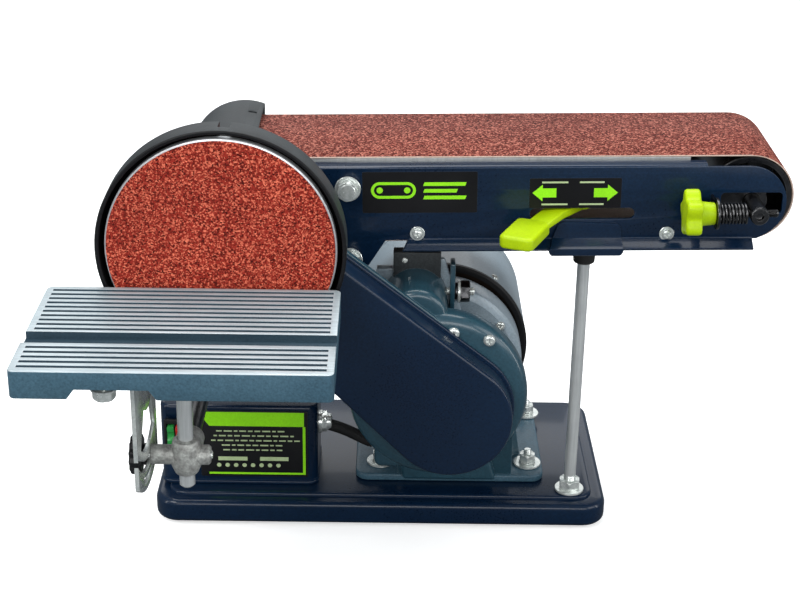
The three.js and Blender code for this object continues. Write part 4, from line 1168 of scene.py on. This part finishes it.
# ---- drum hood ----------------------------------------------------------------------------------
# A rough enamelled hood wraps the outside of the drive drum, over its whole width. It is closed at the
# back, and has one small slot on top.
HOOD_R = 41
hood_arc = [*arc(0, 0, HOOD_R, 68.4, 288, 56), *arc(0, 0, HOOD_R - 1.8, 288, 68.4, 56)]
hood = slab("hood", hood_arc, "Y", 86.4, 202)
cheek = slab("cheek", arc(0, 0, HOOD_R, 68.4, 288, 56), "Y", 200, 202)
vent = brick("vent", 5, 11, 172, 176, 30, 45)
without(hood, vent)
hood = assembled(
    "drum_hood_cast", coated(eased(hood, 0.7, 3, 50), CHARCOAL), coated(eased(cheek, 0.7, 3, 50), CHARCOAL)
)
placed(hood, "arm", "dark_paint", "drum_hood")


# ---- tension lever ------------------------------------------------------------------------------
# The lever swings on a pin behind the plate and comes out through the slot. Its lime grip is one moulding
# with wide soft corners.
LIME = finish(
    "lime plastic", (0.44, 0.62, 0.002), (0.38, 0.56, 0.002), (0.52, 0.7, 0.02), roughness=0.4, bump=0.03,
    grain_scale=700, grain_share=0.2, cloud_scale=45, specular=0.22
)

PIVOT_X, PIVOT_Y = 243, 108
pivot = at(PIVOT_X, PIVOT_Y, 0)


def swung(piece, degrees, about):
    turn = Matrix.Translation(about) @ Matrix.Rotation(
        math.radians(degrees), 4, "Z"
    ) @ Matrix.Translation(-about)
    piece.data.transform(turn)
    return piece


GRIP_Y = PIVOT_Y - 65.5
grip = slab("grip", soft_rectangle(-12.3, 12.3, -19.8, 19.8, 5, 8), "Z", -17, -7.6)
eased(grip, 2.4, 5, 60)
grip.data.transform(Matrix.Translation(Vector((PIVOT_X, GRIP_Y, 0)) / 1000))
swung(grip, 16, at(PIVOT_X, GRIP_Y, 0))
lever_neck = slab(
    "neck",
    [
        (PIVOT_Y, -9.8), (PIVOT_Y, -4.2), (PIVOT_Y - 30, -4.2), (PIVOT_Y - 52, -8.6), (PIVOT_Y - 52, -12.6),
        (PIVOT_Y - 30, -9.8)
    ],
    "X", PIVOT_X - 8.5, PIVOT_X + 7.5
)
eased(lever_neck, 1.0, 3)
lever_eye = turned("eye", [(4.3, -9.9), (9, -9.9), (9, -4.1), (4.3, -4.1)], "Z", (PIVOT_X, PIVOT_Y), 48)
lever = assembled("tension_lever_moulded", *(smooth(part, LIME) for part in (grip, lever_neck, lever_eye)))
swung(lever, -40, pivot)
placed(lever, "lever", "lime_plastic", "tension_lever")


# ---- prop bracket, rod, nut and cap -------------------------------------------------------------
# A folded bracket is welded to the arm under the slot. It goes under the arm and rests on the rubber cap of
# the prop rod.
y = ARM_FACE - 0.3
bracket = slab(
    "prop_bracket_folded",
    [
        (y, -12.6), (y, -25), (y - 8.8, -29.8), (y - 8.8, -32.6), (111, -32.6), (111, -34.4),
        (y - 10.2, -34.4), (y - 10.8, -33.8), (y - 10.8, -29), (y - 2, -24.1), (y - 2, -12.6)
    ],
    "X", 219, 271
)
trim = slab(
    "trim",
    [
        *arc(265.5, -17.9, 4, 0, 90, 8), *arc(231, -17.9, 6, 90, 170, 8), (221, -27.5),
        *arc(224, -30, 5, 180, 270, 8), *arc(266, -30, 5, 270, 360, 8), (270.6, -27.5)
    ],
    "Y", 60, 120
)
carved(bracket, "INTERSECT", trim)
placed(coated(eased(bracket, 0.45, 3, 25), NAVY), "arm", "navy_paint", "prop_bracket")

PROP_X, PROP_Y = 248, 100
prop = assembled(
    "prop_rod_plated", smooth(rod("rod", 4.5, "Z", (PROP_X, PROP_Y), -219, -38, 0.6, 40), STEEL),
    coated(threaded("Z", (PROP_X, PROP_Y), 4.5, -242, -219, 1.25), ZINC)
)
placed(prop, "base", "zinc", "prop_rod")
prop_nut = assembled(
    "prop_nut_plated", coated(washer("Z", (PROP_X, PROP_Y), 11, 4.8, -231.7, -229.9), ZINC),
    coated(nut("Z", (PROP_X, PROP_Y), 8.5, -229.9, -222.7, 25), ZINC)
)
placed(prop_nut, "base", "zinc", "prop_nut")
cap = turned(
    "prop_cap_moulded",
    [
        (4.8, -44.5), (7, -44.5), (7.6, -43.9), (8.4, -30.9), (7.9, -30.3), (0, -30.3), (0, -37.7),
        (4.8, -37.7)
    ],
    "Z", (PROP_X, PROP_Y), 48
)
placed(smooth(cap, RUBBER), "base", "rubber", "prop_cap")


# ---- belt tracking ------------------------------------------------------------------------------
# The idler's axle hangs on a long screw with a coil spring. A lime star knob on the screw pulls one end
# of the axle back, so that the belt tracks in the middle of the drums.
TRACK_Y = 64
lobes = []
for i in range(90):
    angle = math.tau * i / 90
    radius = 14.6 + 2.3 * math.cos(5 * angle)
    lobes.append((TRACK_Y + radius * math.cos(angle), radius * math.sin(angle)))
star = slab("star", lobes, "X", 309.6, 320.6)
eased(star, 2.2, 4, 60)
hub = turned(
    "hub", [(3.1, 318.6), (9.6, 318.6), (8.4, 322.6), (7.6, 330.1), (7, 330.7), (3.1, 330.7)], "X",
    (TRACK_Y, 0), 64
)
knob = assembled("tracking_knob_moulded", smooth(star, LIME), smooth(hub, LIME))
placed(knob, "tracking", "lime_plastic", "tracking_knob")
screw = threaded("X", (TRACK_Y, 0), 2.8, 313.9, DRUM_SPACING + 13.6, 1.0)
placed(coated(screw, DARK_STEEL), "tracking", "steel", "tracking_screw")

COILS, COIL_R, WIRE_R = 8, 6.8, 0.85
spring_low, spring_high = 334.2, DRUM_SPACING - 7.7
bpy.ops.curve.primitive_nurbs_path_add()
spring = bpy.context.object
spring.name = "tracking_spring_wound"
turns = COILS * 14
spring_line = spring.data.splines[0]
spring_line.points.add(turns + 1 - len(spring_line.points))
spring_line.order_u = 3
spring_line.use_endpoint_u = True
for i, point in enumerate(spring_line.points):
    angle = math.tau * COILS * i / turns
    along = spring_low + (spring_high - spring_low) * i / turns
    point.co = (*at(along, TRACK_Y + COIL_R * math.cos(angle), COIL_R * math.sin(angle)), 1)
spring.data.bevel_depth = WIRE_R / 1000
spring.data.bevel_resolution = 3
spring.data.resolution_u = 3
spring.data.use_fill_caps = True
bpy.ops.object.convert(target="MESH")
placed(smooth(spring, DARK_STEEL), "arm", "dark_paint", "tracking_spring")
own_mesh(spring)

axle = rod("axle", 5.9, "Y", (DRUM_SPACING, 0), 76, 205, 0.8)
eye = turned(
    "axle_eye", [(0, 57), (5.6, 57), (6.4, 58), (6.4, 77), (5.9, 78), (0, 78)], "Y", (DRUM_SPACING, 0), 48
)
without(eye, slab("socket", hexagon(DRUM_SPACING, 0, 3.1), "Y", 50, 60.4))
without(eye, rod("cross_hole", 3.2, "X", (TRACK_Y, 0), DRUM_SPACING - 12, DRUM_SPACING + 12, steps=24))
axle = assembled("idler_axle_turned", smooth(axle, DARK_STEEL), coated(eased(eye, 0.3), DARK_STEEL))
placed(axle, "idler_carrier", "dark_paint", "idler_axle")


# ---- work table ---------------------------------------------------------------------------------
# A die-cast table, enamelled all over and then planed on top: the lands are bright, and the fifteen
# grooves and the mitre slot keep their paint, in a darker copy of the enamel as painted shade.
MACHINED = finish(
    "planed aluminium", (0.49, 0.56, 0.59), (0.4, 0.47, 0.5), (0.86, 0.88, 0.88), roughness=0.42, bump=0.03,
    metallic=0.3, grain_scale=900, grain_stretch=(0.03, 1, 1), grain_share=0.45, cloud_scale=24
)
GROOVE_SHADE_ENAMEL = finish(
    "table enamel with painted groove shade", (0.018, 0.04, 0.058), (0.026, 0.054, 0.076), (0.06, 0.1, 0.13), roughness=0.5,
    bump=0.1, grain_scale=720, grain_share=0.5, cloud_scale=18, specular=0.25
)

TABLE = {"x0": -112, "x1": 78, "y0": -130.6, "y1": -5.7, "top": -23.7, "plate": 6, "apron": 18}
MITRE_Y, MITRE_HALF, MITRE_DEPTH = -83.4, 8, 4.5
GROOVE_PITCH, GROOVE_INSET = 6.58, 4.5
table_top = slab(
    "table_top_cast", soft_rectangle(TABLE["x0"], TABLE["x1"], TABLE["y0"], TABLE["y1"], 4, 6), "Z",
    TABLE["top"] - TABLE["apron"], TABLE["top"]
)
eased(table_top, 0.7, 3, 60)
tray = slab(
    "tray", soft_rectangle(TABLE["x0"] + 4, TABLE["x1"] - 4, TABLE["y0"] + 4, TABLE["y1"] - 4, 3, 4), "Z",
    TABLE["top"] - 30, TABLE["top"] - TABLE["plate"]
)
low_edge = TABLE["top"] - TABLE["apron"]
notch = slab(
    "notch", [(-79, low_edge - 1), (-73.5, low_edge + 6.5), (-30, low_edge + 6.5), (-24.5, low_edge - 1)],
    "Y", -140, -124
)
mitre = brick(
    "mitre", TABLE["x0"] - 5, TABLE["x1"] + 5, MITRE_Y - MITRE_HALF, MITRE_Y + MITRE_HALF,
    TABLE["top"] - MITRE_DEPTH, 0
)
without(table_top, tray, notch, mitre)
groove_lines = [TABLE["y0"] + 7 + i * GROOVE_PITCH for i in range(5)]
groove_lines += [MITRE_Y + 12.5 + i * GROOVE_PITCH for i in range(10)]
top = TABLE["top"]
for line in groove_lines:
    valley = [
        (line - 1.75, top + 1), (line + 1.75, top + 1), (line + 1.55, top - 0.1), (line + 1.05, top - 1.6),
        (line - 1.05, top - 1.6), (line - 1.55, top - 0.1)
    ]
    without(table_top, slab("valley", valley, "X", TABLE["x0"] + GROOVE_INSET, TABLE["x1"] - GROOVE_INSET))
eased(table_top, 0.22, 2, 40)
coated(table_top, TABLE_PAINT)
coloured_by(table_top, MACHINED, lambda p, n: n.z > 0.35 and p.z > top - 0.35)
# The grooves and the mitre slot get a darker copy of the table enamel: painted shade in the recesses.
coloured_by(
    table_top, GROOVE_SHADE_ENAMEL, lambda p,
    n: top - 5 < p.z < top - 0.36 and TABLE[
        "x0"
    ] + 1 < p.x < TABLE["x1"] - 1 and TABLE["y0"] + 1 < p.y < TABLE["y1"] - 1
)
ribs = [brick("rib", x, x + 3, TABLE["y0"] + 3.5, TABLE["y1"] - 3.5, top - 13, top - 5.5) for x in (-70, 40)]
lugs = []
for x in (POST_X - 18, POST_X + 13):
    lug = slab(
        "lug", [(-76, -47), *arc(-68, -47, 8, 180, 360, 16), (-60, -47), (-60, top - 5.5), (-76, top - 5.5)],
        "X", x, x + 7
    )
    without(lug, rod("pin_hole", 4.3, "X", (-68, -47), x - 5, x + 12, steps=32))
    lugs.append(lug)
bolt_at = (-58.2, -118)
table_bolt = assembled(
    "table_bolt", coated(washer("Z", bolt_at, 8, 3, top - 17.3, top - 15.8), ZINC),
    coated(nut("Z", bolt_at, 7, top - 22.9, top - 17.3), ZINC),
    coated(rod("shank", 3.5, "Z", bolt_at, top - 17, top - 5.5, 0.2, 32), ZINC)
)
table_parts = [table_top, *(coated(eased(part, 0.5), TABLE_PAINT) for part in (*ribs, *lugs)), table_bolt]
placed(assembled("table_top_cast", *table_parts), "table", "table_finish", "table_top")


# ---- tilt quadrant ------------------------------------------------------------------------------
# A stamped and plated quadrant is fixed under the table. The clamp knob holds it through its curved slot,
# and two more windows lighten it.
QUADRANT_X, TILT_Y, TILT_Z = -43, -68, -47
front_y, back_y = TILT_Y - 50, TILT_Y + 28
RIM_R, STUD_R = 80.5, TILT_Z - STUD_Z
start = -math.degrees(math.acos(28 / RIM_R))
end = -180 + math.degrees(math.acos(50 / RIM_R))
seat_z = top - TABLE["plate"] - 0.3
outline = [(back_y, seat_z), *arc(TILT_Y, TILT_Z, RIM_R, start, end, 40), (front_y, seat_z)]
quadrant = slab("quadrant", outline, "X", QUADRANT_X, QUADRANT_X + 2.5)


def sweep(inner, outer, start_degrees, end_degrees):
    down = -90
    outside = arc(TILT_Y, TILT_Z, outer, down - start_degrees, down - end_degrees, 24)
    within = arc(TILT_Y, TILT_Z, inner, down - end_degrees, down - start_degrees, 24)
    return slab("window", outside + within, "X", QUADRANT_X - 2, QUADRANT_X + 5)


without(
    quadrant, sweep(STUD_R - 3.6, STUD_R + 3.6, -4, 49), sweep(72, 76.6, -12.5, 24), sweep(30, 56, -20, 41),
    rod("eye", 12, "X", (TILT_Y, TILT_Z), QUADRANT_X - 2, QUADRANT_X + 5, steps=48)
)
foot = slab(
    "foot",
    [
        (QUADRANT_X, seat_z - 2.3), (QUADRANT_X + 6, seat_z - 2.3), (QUADRANT_X + 6, seat_z),
        (QUADRANT_X, seat_z)
    ],
    "Y", front_y, back_y
)
quadrant = assembled(
    "tilt_quadrant_stamped", coated(eased(quadrant, 0.3, 2, 40), ZINC), coated(eased(foot, 0.4), ZINC)
)
placed(quadrant, "table", "zinc", "tilt_quadrant")


# ---- table support ------------------------------------------------------------------------------
# The table hangs on a bright steel post with a cross pin. A rough die-cast knuckle grips the post and the
# bar that comes out of the motor casting, and a black knob clamps the quadrant to it.
ROUGH_CAST = finish(
    "rough die casting", (0.52, 0.53, 0.5), (0.3, 0.295, 0.28), (0.8, 0.8, 0.77), roughness=0.5, bump=0.5,
    metallic=0.5, grain_scale=520, grain_share=0.75, cloud_scale=170
)

post = assembled(
    "table_post_ground", smooth(rod("post", 5, "Z", (POST_X, TILT_Y), -134.5, -43, 1.6), STEEL),
    smooth(rod("pin", 4, "X", (TILT_Y, TILT_Z), POST_X - 25, POST_X + 25, 0.6), STEEL)
)
placed(post, "base", "steel", "table_post")
knuckle = turned(
    "knuckle",
    [
        (5.3, -124.5), (6.6, -124.5), (7.4, -123.8), (9.6, -118.6), (9.9, -116), (9.6, -108), (8.9, -103.5),
        (8.2, -101), (6.8, -100.2), (5.3, -100.2)
    ],
    "Z", (POST_X, TILT_Y), 64
)
right_boss = rod("right_boss", 6.4, "X", (TILT_Y, STUD_Z), POST_X, -2.6, 1.2)
left_boss = rod("left_boss", 6.4, "X", (TILT_Y, STUD_Z), -40.6, POST_X, 0.6)
back_boss = rod("back_boss", 9, "Y", (POST_X, STUD_Z), TILT_Y, TILT_Y + 24, 1.2)
carved(knuckle, "UNION", right_boss, left_boss, back_boss)
without(knuckle, rod("post_hole", 5.3, "Z", (POST_X, TILT_Y), -150, -90, steps=48))
eased(knuckle, 0.8, 3, 35)
set_screw = rod("set_screw", 2.6, "X", (TILT_Y, STUD_Z), -3, -1.4, 0.4, 24)
knuckle = assembled("table_knuckle_cast", coated(knuckle, ROUGH_CAST), coated(set_screw, ZINC))
placed(knuckle, "base", "rough_cast", "table_knuckle")
bar = rod("table_support_bar_ground", 6, "Y", (POST_X, STUD_Z), -58, 57, 1)
placed(smooth(bar, DARK_STEEL), "base", "steel", "table_support_bar")

flutes = []
for i in range(96):
    angle = math.tau * i / 96
    radius = 12.2 + 0.8 * math.cos(12 * angle)
    flutes.append((TILT_Y + radius * math.cos(angle), STUD_Z + radius * math.sin(angle)))
knob_x = QUADRANT_X - 0.3
grip = slab("grip", flutes, "X", knob_x - 10, knob_x - 2.6)
knob_hub = rod("hub", 7, "X", (TILT_Y, STUD_Z), knob_x - 3.5, knob_x, 0.4)
stud = rod("stud", 3, "X", (TILT_Y, STUD_Z), knob_x - 5, POST_X - 10, 0.3)
knob = assembled(
    "tilt_knob_moulded", coated(eased(grip, 1.6, 4, 60), PLASTIC), smooth(knob_hub, PLASTIC),
    smooth(stud, STEEL)
)
placed(knob, "tilt_clamp", "black_plastic", "tilt_knob")


# ---- arm lock -----------------------------------------------------------------------------------
# A hexagon nut with two washers clamps the arm from the rib of the casting. It is loosened before the arm
# is tilted. Its stud goes through the rib.
LOCK_Y, LOCK_Z, LOCK_X = 102, -70, 156.8
lock = assembled(
    "arm_lock_knob_moulded", coated(nut("X", (LOCK_Y, LOCK_Z), 8, LOCK_X + 3.4, LOCK_X + 10.6), DARK_STEEL),
    coated(washer("X", (LOCK_Y, LOCK_Z), 8.2, 3, LOCK_X + 1.8, LOCK_X + 3.6), ZINC),
    coated(washer("X", (LOCK_Y, LOCK_Z), 6.5, 3, LOCK_X, LOCK_X + 1.8), DARK_STEEL),
    coated(threaded("X", (LOCK_Y, LOCK_Z), 3, 147, LOCK_X + 14), ZINC)
)
placed(lock, "arm_lock", "black_plastic", "arm_lock_knob")


# ---- pieces kept from the frame -----------------------------------------------------------------
# The bearings, pulleys, drive belt, windings, rotor, fan and inner arm keep the frame's own solids. Each
# gets its finish, and the boxy ones a broken edge.
WINDINGS = finish(
    "varnished laminations", (0.03, 0.018, 0.012), (0.02, 0.014, 0.011), (0.08, 0.055, 0.04), roughness=0.45,
    bump=0.08, metallic=0.6, grain_scale=500, grain_stretch=(0.05, 4, 0.05), cloud_scale=30
)

KEPT = {
    "front_bearing": STEEL, "rear_bearing": STEEL, "driven_pulley": ALUMINIUM, "motor_pulley": ALUMINIUM,
    "drive_belt": RUBBER, "stator_core": WINDINGS, "rotor_core": WINDINGS, "motor_shaft": STEEL,
    "cooling_fan": PLASTIC, "arm_beam": GREY, "platen": STEEL, "idler_yoke": DARK_STEEL
}
for node_name, material in KEPT.items():
    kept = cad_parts[node_name]
    kept.data.materials.clear()
    kept.data.materials.append(material)
    if node_name in ("arm_beam", "platen", "idler_yoke"):
        weld = kept.modifiers.new("weld", "WELD")
        weld.merge_threshold = 1e-5
        edge_break = kept.modifiers.new("edge break", "BEVEL")
        edge_break.width = 0.0006
        edge_break.segments = 2
        edge_break.limit_method = "ANGLE"
